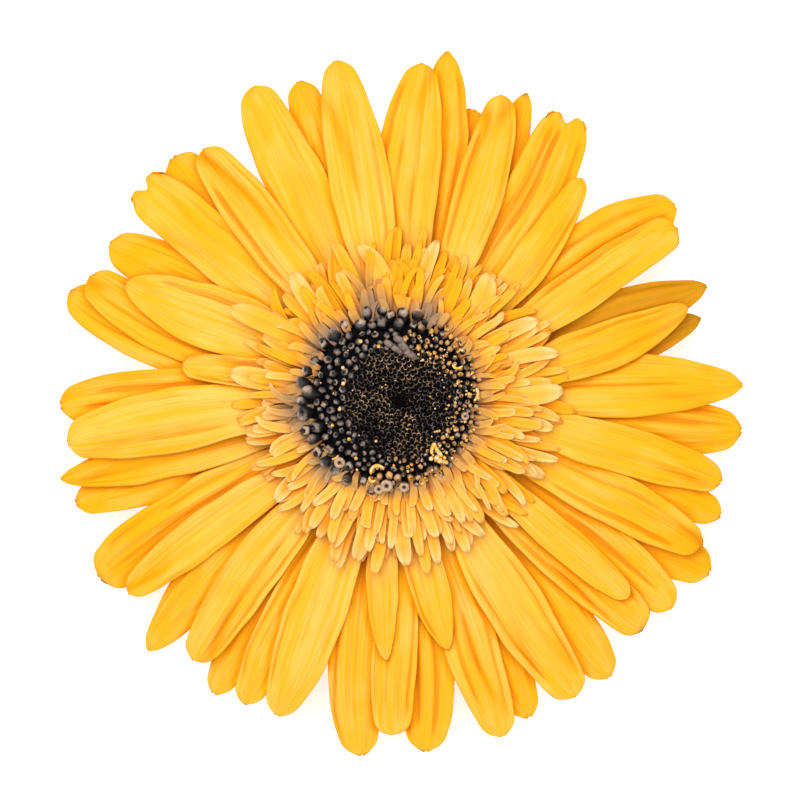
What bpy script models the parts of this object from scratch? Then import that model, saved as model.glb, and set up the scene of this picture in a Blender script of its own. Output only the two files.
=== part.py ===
"""Preserved gerbera daisy: a stemless flower head that rests face up on its cut receptacle.

The origin is the centre of the cut face, and +Z runs up the flower's axis and out of its face. Azimuths
are degrees from +X, anticlockwise as seen from above. From below upwards the head is a receptacle, three
rows of bracts, the long ray petals lying over each other, two rings of short florets, and the dark disc.
"""

import collections
import math

import bpy
import numpy as np

MM = 0.001

# Receptacle: a cut neck that opens into a cup with a nearly flat top
CUT_FACE_RADIUS = 4.8 * MM
RIM_RADIUS = 12.9 * MM
RIM_HIGH = 14.2 * MM
RIM_ROUNDING = 0.6 * MM
TOP_CROWN = 0.5 * MM
TOP_SHOULDER = 0.55
TOP_SHOULDER_RISE = 0.7
RECEPTACLE_STEPS = 36

# Outer side of the cup from the neck to the rim, as (radius, height), and where the bracts leave it
CUP_LINE = ((5.2, 2.8), (8.4, 3.6), (10.7, 5.0), (12.2, 6.6), (12.9, 8.2))
BRACT_FLARE = ((13.9, 7.7), (15.7, 8.3))

# Between neighbours that touch in the real flower
GAP = 0.3 * MM

# Points nearer than this are one, and folds sharper than this are shaded as edges
MERGE = 0.01 * MM
SHARP_ANGLE = math.radians(45)

# Bracts: each row is one ring of pointed scales. A row starts and ends so far along the cup's line.
BRACTS_PER_ROW = 24
BRACT_THICKNESS = 0.55 * MM
BRACT_THINNING = 0.4
BRACT_LAYER = BRACT_THICKNESS + 2 * GAP
BRACT_CLIMB = 1.6 * MM
BRACT_CLEFT = 0.45
BRACT_STATIONS = 4
BRACT_SLOPE_SPAN = 0.8 * MM
INNER_ROW = (4.4 * MM, 12.0 * MM)
MIDDLE_ROW = (2.4 * MM, 9.6 * MM)
OUTER_ROW = (0.5 * MM, 7.0 * MM)

# Ray petals
PETAL_ROOT_RADIUS = RIM_RADIUS + GAP
PETAL_ROOT_LOW = 9.3 * MM
PETAL_ROOT_STEP = 0.5 * MM
PETAL_CLAW = 0.8 * MM
PETAL_THICKNESS = 0.5 * MM
PETAL_CHANNEL = 0.45 * MM
PETAL_CHANNEL_FADE = 0.7
PETAL_ARCH = 1.3 * MM
PETAL_ARCH_END = 0.87
PETAL_DROOP = 3.6 * MM
PETAL_DROOP_STEP = 0.5 * MM
PETAL_DROOP_SPREAD = 0.5 * MM
PETAL_DROOP_POWER = 2.2
PETAL_WIDEST = 0.62
PETAL_WIDENING = 1.25
PETAL_NOTCH_START = 0.9
PETAL_MIDDLE = 0.6
PETAL_STATIONS = (0.0, 0.15, 0.31, 0.47, 0.62, 0.76, 0.87, 0.95, 1.0)
PETAL_ACROSS = (-1.0, -0.5, 0.0, 0.5, 1.0)

# How a petal lies over the ones below it
LAY_CLEARANCE = 0.88 * MM
LAY_SLOPE = 0.3
LAY_SIDE = 0.25
LAY_LEAN = 0.6
LAY_LEAN_MARGIN = 2 * MM
LAY_LEAN_START = 0.3
LAY_MOST_LEAN = 0.22
LAY_CELL = 0.3 * MM
LAY_HALF_SIZE = 54 * MM
LAY_FINE = 8
LAY_FINE_ACROSS = 41

# Short florets, in two rings over the roots of the petals
FLORET_RING_INNER_RADIUS = 11.3 * MM
FLORET_THICKNESS = 0.6 * MM
FLORET_SLOPE = 0.3
FLORET_SHOULDERS = (0.3, 0.7)
FLORET_PAST_RIM = 0.8 * MM
FLORET_STATIONS = 24
OUTER_FLORETS = 34
OUTER_FLORET_REACH = 22.6 * MM
OUTER_FLORET_CLEFT = 18.4 * MM
INNER_FLORETS = 28
INNER_FLORET_REACH = 18.4 * MM
INNER_FLORET_CLEFT = 15.0 * MM
INNER_FLORET_TURN = 0.05

# Disc: open florets round a dome of closed buds that dips in its middle
OPEN_DISC_INNER_RADIUS = 7.5 * MM
OPEN_DISC_FOOT_RADIUS = 11.0 * MM
OPEN_DISC_RADIUS = 12.7 * MM
OPEN_DISC_LEAN = 0.8 * MM
OPEN_DISC_LEAN_AZIMUTH = 150
OPEN_DISC_LOBES = 26
OPEN_DISC_LOBE_DEPTH = 0.5 * MM
OPEN_DISC_RISE = 1.4 * MM
OPEN_DISC_INNER_DROP = 0.6 * MM
OPEN_DISC_SHOULDER = 0.3 * MM
OPEN_DISC_SHOULDER_DROP = 0.5 * MM
OPEN_DISC_COLUMNS = 3 * OPEN_DISC_LOBES
BUD_RADIUS = 7.2 * MM
BUD_DROP = 0.35 * MM
BUD_EDGE_DROP = 1.1 * MM
BUD_DIMPLE = 1.1 * MM
BUD_DIMPLE_REACH = 0.45
BUD_STATIONS = 8
BUD_STEPS = 32

# How each kind of petal tip is shaped: where its taper starts, how full it is, the width left, its notch
TipShape = collections.namedtuple("TipShape", "start power end notch")
TIP_SHAPES = {
    "round": TipShape(0.58, 0.62, 0.26, 0.0),
    "narrow": TipShape(0.46, 0.72, 0.24, 0.0),
    "point": TipShape(0.52, 0.85, 0.12, 0.0),
    "blunt": TipShape(0.66, 0.62, 0.46, 0.0),
    "notch": TipShape(0.66, 0.60, 0.54, 0.04),
}

# Ray petals, round the head: azimuth at the root, at the middle and at the tip in degrees, reach from the
# axis and width in millimetres, how high it lies among the others from 0 to 5, and its tip
Petal = collections.namedtuple("Petal", "root middle tip_turn reach width level tip")
PETALS = (
    Petal(4.7, 4.0, 2.8, 48.7, 8.8, 3, "point"),
    Petal(14.0, 14.4, 15.6, 44.8, 6.6, 0, "point"),
    Petal(13.5, 15.4, 18.4, 43.5, 7.0, 3, "point"),
    Petal(21.0, 21.0, 20.8, 47.0, 7.5, 1, "point"),
    Petal(30.0, 31.4, 32.4, 45.9, 6.8, 4, "blunt"),
    Petal(40.0, 39.2, 35.3, 48.4, 8.3, 3, "round"),
    Petal(45.0, 47.6, 51.0, 41.2, 6.0, 5, "round"),
    Petal(57.0, 58.4, 60.9, 47.9, 7.8, 2, "notch"),
    Petal(66.0, 66.8, 67.7, 47.9, 6.4, 1, "point"),
    Petal(67.5, 69.4, 71.5, 46.3, 7.0, 4, "round"),
    Petal(75.0, 75.6, 76.2, 43.2, 6.5, 0, "blunt"),
    Petal(81.0, 81.0, 82.3, 50.8, 8.0, 1, "point"),
    Petal(88.0, 87.2, 85.8, 48.5, 9.3, 3, "narrow"),
    Petal(100.7, 100.3, 100.6, 49.0, 8.5, 3, "narrow"),
    Petal(108.0, 107.6, 107.5, 47.6, 6.2, 1, "round"),
    Petal(115.3, 115.4, 115.0, 49.9, 8.6, 1, "round"),
    Petal(129.5, 127.6, 127.4, 45.9, 7.9, 4, "round"),
    Petal(133.5, 133.0, 133.0, 47.0, 6.4, 1, "blunt"),
    Petal(139.5, 139.8, 140.0, 47.9, 8.0, 3, "notch"),
    Petal(149.0, 150.0, 151.1, 47.0, 7.5, 0, "round"),
    Petal(152.0, 156.0, 156.6, 42.8, 9.4, 4, "point"),
    Petal(164.0, 162.4, 158.2, 47.0, 7.2, 2, "blunt"),
    Petal(169.5, 166.6, 162.3, 50.0, 8.2, 1, "round"),
    Petal(168.0, 169.4, 170.8, 31.5, 4.2, 5, "round"),
    Petal(177.0, 178.4, 180.6, 48.6, 7.6, 2, "round"),
    Petal(182.0, 184.7, 187.0, 47.4, 8.8, 3, "round"),
    Petal(192.0, 193.0, 193.4, 49.9, 6.0, 1, "point"),
    Petal(197.5, 197.2, 197.4, 48.7, 6.3, 0, "round"),
    Petal(207.5, 209.6, 211.2, 49.3, 7.7, 0, "blunt"),
    Petal(213.0, 213.8, 215.1, 47.6, 6.2, 2, "round"),
    Petal(220.0, 223.4, 225.2, 50.6, 8.0, 1, "point"),
    Petal(227.0, 229.2, 231.6, 47.3, 7.5, 3, "round"),
    Petal(235.5, 236.4, 237.4, 49.1, 6.2, 0, "round"),
    Petal(242.0, 242.2, 242.6, 47.9, 6.2, 1, "round"),
    Petal(246.0, 247.5, 248.6, 48.2, 8.3, 2, "narrow"),
    Petal(257.5, 261.0, 263.8, 50.6, 7.2, 1, "round"),
    Petal(262.5, 264.6, 267.0, 37.0, 4.6, 4, "point"),
    Petal(269.0, 268.8, 268.4, 47.2, 5.8, 2, "blunt"),
    Petal(275.5, 275.6, 274.3, 50.2, 8.2, 1, "round"),
    Petal(277.0, 279.0, 281.0, 36.0, 5.6, 4, "point"),
    Petal(284.5, 286.2, 287.1, 50.1, 7.8, 3, "round"),
    Petal(291.0, 291.6, 292.3, 48.8, 6.4, 0, "round"),
    Petal(297.5, 299.4, 300.8, 49.1, 8.2, 3, "round"),
    Petal(306.0, 307.8, 308.0, 49.6, 7.6, 0, "round"),
    Petal(314.0, 316.6, 318.3, 46.9, 6.7, 2, "blunt"),
    Petal(320.5, 319.6, 319.6, 43.0, 5.0, 4, "round"),
    Petal(326.0, 324.6, 323.0, 48.3, 7.2, 1, "round"),
    Petal(331.0, 330.6, 331.2, 50.4, 8.0, 0, "round"),
    Petal(337.5, 335.6, 334.2, 47.8, 7.5, 4, "round"),
    Petal(342.0, 341.4, 341.1, 49.0, 6.8, 1, "round"),
    Petal(349.5, 347.8, 346.5, 47.4, 7.0, 4, "round"),
    Petal(356.0, 354.8, 355.2, 49.0, 8.4, 1, "round"),
)

# Finishes: base colour, roughness, metallic
PETAL_GOLD = ("petal_gold", (0.95, 0.50, 0.035), 0.55, 0.0)
SHORT_FLORET_PEACH = ("short_floret_peach", (0.98, 0.62, 0.18), 0.6, 0.0)
DISC_DARK = ("disc_dark", (0.035, 0.026, 0.030), 0.45, 0.0)
OPEN_DISC_GREY = ("open_disc_grey", (0.085, 0.070, 0.075), 0.4, 0.0)
BRACT_OLIVE = ("bract_olive", (0.20, 0.19, 0.06), 0.7, 0.0)
RECEPTACLE_STRAW = ("receptacle_straw", (0.36, 0.30, 0.13), 0.8, 0.0)


class HeightField:
    """The top of everything laid so far, as the highest point in each cell of a grid seen from above."""

    def __init__(self):
        self.cells = 2 * math.ceil(LAY_HALF_SIZE / LAY_CELL)
        self.heights = np.zeros((self.cells, self.cells))

    def cell_of(self, places):
        return ((places + LAY_HALF_SIZE) / LAY_CELL).astype(int)

    def lay(self, points):
        """Raises the cells under these points, and the cells around them, to the points' heights."""
        column, row = self.cell_of(points[:, 0]), self.cell_of(points[:, 1])
        for across in (-1, 0, 1):
            for along in (-1, 0, 1):
                np.maximum.at(self.heights, (column + across, row + along), points[:, 2])

    def below(self, places_x, places_y):
        return self.heights[self.cell_of(places_x), self.cell_of(places_y)]

    def ring_top(self, radius):
        """The highest point on the circle of this radius."""
        turns = np.linspace(0.0, 2 * math.pi, 720)
        return self.below(radius * np.cos(turns), radius * np.sin(turns)).max()


def eased(share):
    """0 to 1 with a soft start and a soft end."""
    share = np.clip(share, 0.0, 1.0)
    return share * share * (3 - 2 * share)


def half_width(petal, along):
    """Half the width at this share of the length: a narrow claw, a broad blade, and the tip."""
    shape = TIP_SHAPES[petal.tip]
    full = petal.width * MM / 2
    widening = np.sin(0.5 * math.pi * np.clip(along / PETAL_WIDEST, 0.0, 1.0)) ** PETAL_WIDENING
    taper = np.clip((along - shape.start) / (1 - shape.start), 0.0, 1.0)
    narrowing = shape.end + (1 - shape.end) * (1 - taper**2) ** shape.power
    return (PETAL_CLAW + (full - PETAL_CLAW) * widening) * narrowing


def petal_plan(petal, along, across):
    """Where the point this far along and across the petal is, seen from above."""
    reach = petal.reach * MM - PETAL_ROOT_RADIUS
    whole_bend = petal.tip_turn - petal.root
    bulge = petal.middle - petal.root - PETAL_MIDDLE * whole_bend
    bulge /= PETAL_MIDDLE * (1 - PETAL_MIDDLE)

    def centre(share):
        turn = np.radians(petal.root + whole_bend * share + bulge * share * (1 - share))
        radius = PETAL_ROOT_RADIUS + reach * share
        return radius * np.cos(turn), radius * np.sin(turn)

    near_tip = np.clip((along - PETAL_NOTCH_START) / (1 - PETAL_NOTCH_START), 0.0, 1.0)
    share = along - TIP_SHAPES[petal.tip].notch * near_tip * (1 - np.abs(across))
    step = 0.01
    ahead_x, ahead_y = centre(share + step)
    here_x, here_y = centre(share)
    length = np.hypot(ahead_x - here_x, ahead_y - here_y)
    side = half_width(petal, along) * across
    return here_x - side * (ahead_y - here_y) / length, here_y + side * (ahead_x - here_x) / length


def free_height(petal, along):
    """The height the petal's middle would have with nothing under it: a low arch and a drooping tip."""
    root = PETAL_ROOT_LOW + PETAL_ROOT_STEP * petal.level
    droop = PETAL_DROOP - PETAL_DROOP_STEP * petal.level + PETAL_DROOP_SPREAD * math.sin(petal.root)
    arch = PETAL_ARCH * np.sin(math.pi * np.clip(along / PETAL_ARCH_END, 0.0, 1.0))
    return root + arch - droop * along**PETAL_DROOP_POWER


def channel(along, across):
    """How far a petal's edges stand above its middle: most near the root, little at the tip."""
    return PETAL_CHANNEL * across**2 * (1 - PETAL_CHANNEL_FADE * along)


def slope_limited(stations, heights, length, slope):
    """The lowest line over these heights that climbs and falls no steeper than the slope."""
    apart = np.abs(stations[:, None] - stations[None, :]) * length
    return (heights[None, :] - slope * apart).max(axis=1)


def smoothed(values):
    padded = np.concatenate([values[:1], values, values[-1:]])
    return 0.25 * padded[:-2] + 0.5 * padded[1:-1] + 0.25 * padded[2:]


def laid_petal(petal, field):
    """The petal's upper surface as a grid of points, laid over everything in the height field."""
    stations = np.array(PETAL_STATIONS)
    across = np.array(PETAL_ACROSS)
    length = petal.reach * MM - PETAL_ROOT_RADIUS
    fine_along = np.interp(
        np.linspace(0, len(stations) - 1, (len(stations) - 1) * LAY_FINE + 1),
        np.arange(len(stations)),
        stations,
    )
    fine_across = np.linspace(-1.0, 1.0, LAY_FINE_ACROSS)
    along_grid, across_grid = np.meshgrid(fine_along, fine_across, indexing="ij")
    place_x, place_y = petal_plan(petal, along_grid, across_grid)
    below = field.below(place_x, place_y)
    needed = np.where(below > 0, below + LAY_CLEARANCE, 0.0) - channel(along_grid, across_grid)
    free = free_height(petal, fine_along)

    # Where the petal has more under one side, it leans away from that side.
    left = np.maximum(needed[:, fine_across < -LAY_SIDE].max(axis=1), free)
    right = np.maximum(needed[:, fine_across > LAY_SIDE].max(axis=1), free)
    widths = half_width(petal, fine_along)
    lean = LAY_LEAN * (right - left) / (2 * widths + LAY_LEAN_MARGIN)
    lean = np.clip(lean, -LAY_MOST_LEAN, LAY_MOST_LEAN)
    lean = np.array([lean[max(0, k - LAY_FINE) : k + LAY_FINE + 1].mean() for k in range(len(lean))])
    lean *= eased(fine_along / LAY_LEAN_START)
    lean = np.interp(stations, fine_along, lean)
    fine_lean = np.interp(fine_along, stations, lean)
    needed -= (fine_lean * widths)[:, None] * fine_across[None, :]
    needed = np.maximum(needed.max(axis=1), free)

    # A station takes the highest need of the stretches on both its sides.
    heights = []
    for k in range(len(stations)):
        heights.append(needed[max(0, (k - 1) * LAY_FINE) : (k + 1) * LAY_FINE + 1].max())
    heights = slope_limited(stations, np.array(heights), length, LAY_SLOPE)
    heights = np.maximum(heights, smoothed(heights))

    along_grid, across_grid = np.meshgrid(stations, across, indexing="ij")
    place_x, place_y = petal_plan(petal, along_grid, across_grid)
    side = (half_width(petal, stations) * lean)[:, None] * across[None, :]
    height = heights[:, None] + side + channel(along_grid, across_grid)
    return np.stack([place_x, place_y, height], axis=-1)


def fine_points(grid):
    """Points spread closely over a coarse grid's faces."""
    for axis in (0, 1):
        count = grid.shape[axis]
        fine = np.linspace(0, count - 1, (count - 1) * LAY_FINE * 2 + 1)
        low = np.minimum(fine.astype(int), count - 2)
        share = (fine - low).reshape((-1, 1, 1) if axis == 0 else (1, -1, 1))
        grid = np.take(grid, low, axis) * (1 - share) + np.take(grid, low + 1, axis) * share
    return grid.reshape(-1, 3)


def material(finish):
    name, colour, roughness, metallic = finish
    found = bpy.data.materials.get(name)
    if found:
        return found
    made = bpy.data.materials.new(name)
    made.use_nodes = True
    shader = made.node_tree.nodes["Principled BSDF"]
    shader.inputs["Base Color"].default_value = (*colour, 1.0)
    shader.inputs["Roughness"].default_value = roughness
    shader.inputs["Metallic"].default_value = metallic
    return made


def add_object(name, points, faces, finish):
    mesh = bpy.data.meshes.new(name)
    mesh.from_pydata([tuple(point) for point in points], [], faces)
    mesh.validate()
    mesh.materials.append(material(finish))
    mesh.shade_smooth()
    mesh.set_sharp_from_angle(angle=SHARP_ANGLE)
    made = bpy.data.objects.new(name, mesh)
    parts.objects.link(made)
    return made


def turned(name, profile, steps, finish):
    """A round piece from a profile of (radius, height) pairs that runs down its outer side."""
    points = [(radius, 0.0, height) for radius, height in profile]
    mesh = bpy.data.meshes.new(name)
    mesh.from_pydata(points, [(k, k + 1) for k in range(len(points) - 1)], [])
    mesh.materials.append(material(finish))
    made = bpy.data.objects.new(name, mesh)
    parts.objects.link(made)
    screw = made.modifiers.new("turn", "SCREW")
    screw.steps = steps
    screw.render_steps = steps
    screw.use_merge_vertices = True
    screw.merge_threshold = MERGE
    screw.use_smooth_shade = True
    return made


def ring(name, turns, section, finish):
    """A closed ring lofted through one closed section at each azimuth, as (radius, height) pairs."""
    points = []
    for turn in turns:
        for radius, height in section(turn):
            points.append((radius * math.cos(turn), radius * math.sin(turn), height))
    size = len(points) // len(turns)
    faces = []
    for k in range(len(turns)):
        here, ahead = k * size, (k + 1) % len(turns) * size
        for j in range(size):
            beside = (j + 1) % size
            faces.append((here + j, here + beside, ahead + beside, ahead + j))
    return add_object(name, points, faces, finish)


def toothed_turns(teeth, shoulders, first_turn):
    """Azimuths round a toothed ring, with whether each one is on a tooth or in a cleft between two."""
    pitch = 2 * math.pi / teeth
    turns = {}
    for tooth in range(teeth):
        turns[tooth * pitch + first_turn] = False
        for share in shoulders:
            turns[(tooth + share) * pitch + first_turn] = True
    return turns


def add_receptacle():
    shoulder = (TOP_SHOULDER * RIM_RADIUS, RIM_HIGH + TOP_SHOULDER_RISE * TOP_CROWN)
    profile = [(0.0, RIM_HIGH + TOP_CROWN), shoulder]
    profile += [(RIM_RADIUS - RIM_ROUNDING, RIM_HIGH), (RIM_RADIUS, RIM_HIGH - RIM_ROUNDING)]
    profile += [(radius * MM, height * MM) for radius, height in CUP_LINE[::-1]]
    profile += [(CUT_FACE_RADIUS, 0.0), (0.0, 0.0)]
    turned("receptacle", profile, RECEPTACLE_STEPS, RECEPTACLE_STRAW)


def bract_line(travel, lift):
    """The point this far along the cup's line and this far out from it, as (radius, height)."""
    line = np.array(CUP_LINE[:-1] + BRACT_FLARE) * MM
    lengths = np.concatenate([[0.0], np.cumsum(np.hypot(*np.diff(line, axis=0).T))])

    def at(distance):
        return np.array([np.interp(distance, lengths, line[:, axis]) for axis in (0, 1)])

    ahead = at(travel + BRACT_SLOPE_SPAN) - at(travel - BRACT_SLOPE_SPAN)
    ahead /= np.hypot(*ahead)
    radius, height = at(travel) + lift * np.array([ahead[1], -ahead[0]])
    return float(radius), float(height)


def add_bract_row(name, span, rows_below, first_turn):
    """One row of bracts, which climbs over the foot of each row below it."""
    low, high = span
    teeth = toothed_turns(BRACTS_PER_ROW, (0.5,), first_turn)

    def section(turn):
        end = high if teeth[turn] else high - BRACT_CLEFT * (high - low)
        inner, outer = [], []
        for travel in np.linspace(low, end, BRACT_STATIONS):
            lift = GAP
            for start, _ in rows_below:
                lift += BRACT_LAYER * np.clip((travel - start) / BRACT_CLIMB + 1.0, 0.0, 1.0)
            thinned = BRACT_THICKNESS * (1 - BRACT_THINNING * (travel - low) / (high - low))
            inner.append(bract_line(travel, lift))
            outer.append(bract_line(travel, lift + thinned))
        return outer[::-1] + inner

    ring(name, list(teeth), section, BRACT_OLIVE)


def add_petals(field):
    order = sorted(range(len(PETALS)), key=lambda place: PETALS[place].level)
    rows, columns = len(PETAL_STATIONS), len(PETAL_ACROSS)
    faces = []
    for i in range(rows - 1):
        for j in range(columns - 1):
            corner = i * columns + j
            faces.append((corner, corner + columns, corner + columns + 1, corner + 1))
    for place in order:
        grid = laid_petal(PETALS[place], field)
        field.lay(fine_points(grid))
        made = add_object(f"petal_{place + 1:02d}", grid.reshape(-1, 3), faces, PETAL_GOLD)
        wall = made.modifiers.new("thickness", "SOLIDIFY")
        wall.thickness = PETAL_THICKNESS
        wall.offset = -1


def floret_ring_floor(field, reach, raised):
    """Radii from the ring's foot to its tips, and the lowest heights that clear what lies below."""
    radii = np.linspace(FLORET_RING_INNER_RADIUS, reach, FLORET_STATIONS)
    floor = []
    for radius in radii:
        top = field.ring_top(radius) if radius > RIM_RADIUS else 0.0
        floor.append(max(top, RIM_HIGH) + GAP + raised)
    return radii, slope_limited(radii, np.array(floor), 1.0, FLORET_SLOPE)


def add_floret_ring(name, field, count, reach, cleft, raised, first_turn):
    radii, floor = floret_ring_floor(field, reach, raised)
    foot = RIM_RADIUS + FLORET_PAST_RIM
    teeth = toothed_turns(count, FLORET_SHOULDERS, first_turn)

    def section(turn):
        end = reach if teeth[turn] else cleft
        stations = (FLORET_RING_INNER_RADIUS, foot, 0.5 * (foot + cleft), end)
        under = [(radius, float(np.interp(radius, radii, floor))) for radius in stations]
        over = [(radius, height + FLORET_THICKNESS) for radius, height in under]
        return over + under[::-1]

    ring(name, list(teeth), section, SHORT_FLORET_PEACH)
    return radii, floor + FLORET_THICKNESS


def add_open_disc(inner_ring_top):
    """The open florets of the disc: a lobed crown whose outer side leans over the short florets."""
    foot = RIM_HIGH + TOP_CROWN + GAP
    overhang = inner_ring_top + GAP
    top = overhang + OPEN_DISC_RISE
    lean = math.radians(OPEN_DISC_LEAN_AZIMUTH)

    def section(turn):
        lobe = OPEN_DISC_LOBE_DEPTH * (0.5 - 0.5 * math.cos(turn * OPEN_DISC_LOBES))
        outer = OPEN_DISC_RADIUS + OPEN_DISC_LEAN * math.cos(turn - lean) + lobe
        middle = 0.5 * (OPEN_DISC_INNER_RADIUS + outer)
        return (
            (OPEN_DISC_INNER_RADIUS, top - OPEN_DISC_INNER_DROP),
            (middle, top + 0.5 * lobe),
            (outer - OPEN_DISC_SHOULDER, top - OPEN_DISC_SHOULDER_DROP + 0.5 * lobe),
            (outer, overhang),
            (OPEN_DISC_FOOT_RADIUS, overhang),
            (OPEN_DISC_FOOT_RADIUS, foot),
            (OPEN_DISC_INNER_RADIUS, foot),
        )

    turns = [2 * math.pi * k / OPEN_DISC_COLUMNS for k in range(OPEN_DISC_COLUMNS)]
    ring("open_disc_florets", turns, section, OPEN_DISC_GREY)
    return top


def add_disc_buds(top):
    """The closed buds: a dome that dips in its middle."""
    foot = RIM_HIGH + TOP_CROWN + GAP
    profile = []
    for share in np.linspace(0.0, 1.0, BUD_STATIONS):
        dome = top - BUD_DROP - BUD_EDGE_DROP * share**3
        profile.append((BUD_RADIUS * share, dome - BUD_DIMPLE * (1 - eased(share / BUD_DIMPLE_REACH))))
    profile += [(BUD_RADIUS, foot), (0.0, foot)]
    turned("disc_buds", profile, BUD_STEPS, DISC_DARK)


for leftover in list(bpy.data.objects):
    bpy.data.objects.remove(leftover, do_unlink=True)
parts = bpy.data.collections.new("preserved_gerbera_daisy")
bpy.context.scene.collection.children.link(parts)

add_receptacle()
add_bract_row("bract_row_outer", OUTER_ROW, (INNER_ROW, MIDDLE_ROW), 0.0)
add_bract_row("bract_row_middle", MIDDLE_ROW, (INNER_ROW,), math.pi / BRACTS_PER_ROW)
add_bract_row("bract_row_inner", INNER_ROW, (), 0.0)
laid = HeightField()
add_petals(laid)
outer_top = add_floret_ring(
    "short_floret_ring_outer", laid, OUTER_FLORETS, OUTER_FLORET_REACH, OUTER_FLORET_CLEFT, 0.0, 0.0
)
inner_top = add_floret_ring(
    "short_floret_ring_inner",
    laid,
    INNER_FLORETS,
    INNER_FLORET_REACH,
    INNER_FLORET_CLEFT,
    FLORET_THICKNESS + GAP,
    INNER_FLORET_TURN,
)
disc_top = add_open_disc(float(inner_top[1].max()))
add_disc_buds(disc_top)
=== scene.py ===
"""Looks of the preserved gerbera daisy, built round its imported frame.

Lengths are in metres, and in millimetres in the tables. Azimuths are degrees from +X, anticlockwise as seen
from above. Every piece takes its place from the solid that it stands for: the long petals are laid over each
other from the lowest level up, then come the short florets, the disc, and the bracts under the head.
"""

import collections
import math

import bpy
import numpy as np
from mathutils import Matrix, Vector
from mathutils.bvhtree import BVHTree


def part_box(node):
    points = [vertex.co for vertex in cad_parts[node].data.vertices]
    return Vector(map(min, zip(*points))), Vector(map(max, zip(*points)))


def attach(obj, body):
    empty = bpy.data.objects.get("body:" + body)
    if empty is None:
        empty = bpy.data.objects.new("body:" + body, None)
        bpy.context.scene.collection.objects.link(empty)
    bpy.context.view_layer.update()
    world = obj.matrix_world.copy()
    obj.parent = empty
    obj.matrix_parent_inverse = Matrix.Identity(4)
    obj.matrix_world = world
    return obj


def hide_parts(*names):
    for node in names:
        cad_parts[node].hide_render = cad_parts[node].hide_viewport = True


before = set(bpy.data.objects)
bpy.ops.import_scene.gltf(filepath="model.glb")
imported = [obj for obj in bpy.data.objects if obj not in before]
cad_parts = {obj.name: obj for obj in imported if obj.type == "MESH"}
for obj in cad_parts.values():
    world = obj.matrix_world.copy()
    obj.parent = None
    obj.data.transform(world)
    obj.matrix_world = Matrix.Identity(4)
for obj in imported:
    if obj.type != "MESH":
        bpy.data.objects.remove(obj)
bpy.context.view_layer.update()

MM = 0.001
GOLDEN_ANGLE = math.pi * (3 - math.sqrt(5))
ANY_PHASE = 6.3

# Long petals: their plan, as the frame has it. The claw is the half width of the root, and the other numbers
# are shares of the petal's length
PETAL_ROOT_RADIUS = 13.2 * MM
PETAL_CLAW = 0.8 * MM
PETAL_WIDEST = 0.56
PETAL_WIDENING = 0.85
PETAL_MIDDLE = 0.6
PETAL_NOTCH_START = 0.84
TIP_ROUNDING = 0.95
TIP_ROUNDNESS = 0.975

# Where a petal is narrower than this share of its width, to each side, its folds die away
FLAT_TIP_SHARE = 0.3

TipShape = collections.namedtuple("TipShape", "start power end notch")
TIP_SHAPES = {
    "round": TipShape(0.58, 0.60, 0.38, 0.0),
    "narrow": TipShape(0.46, 0.70, 0.33, 0.0),
    "point": TipShape(0.52, 0.82, 0.17, 0.0),
    "blunt": TipShape(0.66, 0.58, 0.56, 0.0),
    "notch": TipShape(0.68, 0.55, 0.70, 0.04),
}

# Long petals: their surface. The rows of a petal's grid stand closer toward its tip
GRID_ALONG = 72
GRID_ACROSS = 36
ROWS_TOWARD_TIP = 1.35
PETAL_THICKNESS = 0.26 * MM
WAVE_LENGTH = 1.7
RIB_HEIGHT = 0.26
RIB_LEVEL = 0.65
FEWEST_CREASES = 5
MOST_CREASES = 9
CREASE_REACH = 0.88
RIM_LINE_CHANCE = 0.7
RIM_LINE_PLACE = 0.74
RIM_RIDGE_PLACE = 0.95
FADE_IN = 0.15
FADE_OUT = 0.12
LOBE_DEPTH = 0.002
SIDE_SWAY = 0.05
DEEP_GROOVE = 0.24

# How a petal comes to lie on the ones below it. Its root stays where the frame has it
LAY_CLEARANCE = 0.32 * MM
LAY_SETTLING = 0.75
SETTLING_START = 0.2
SETTLING_SPAN = 0.4
LAY_CELL = 0.25 * MM
LAY_HALF_SIZE = 56 * MM

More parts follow.
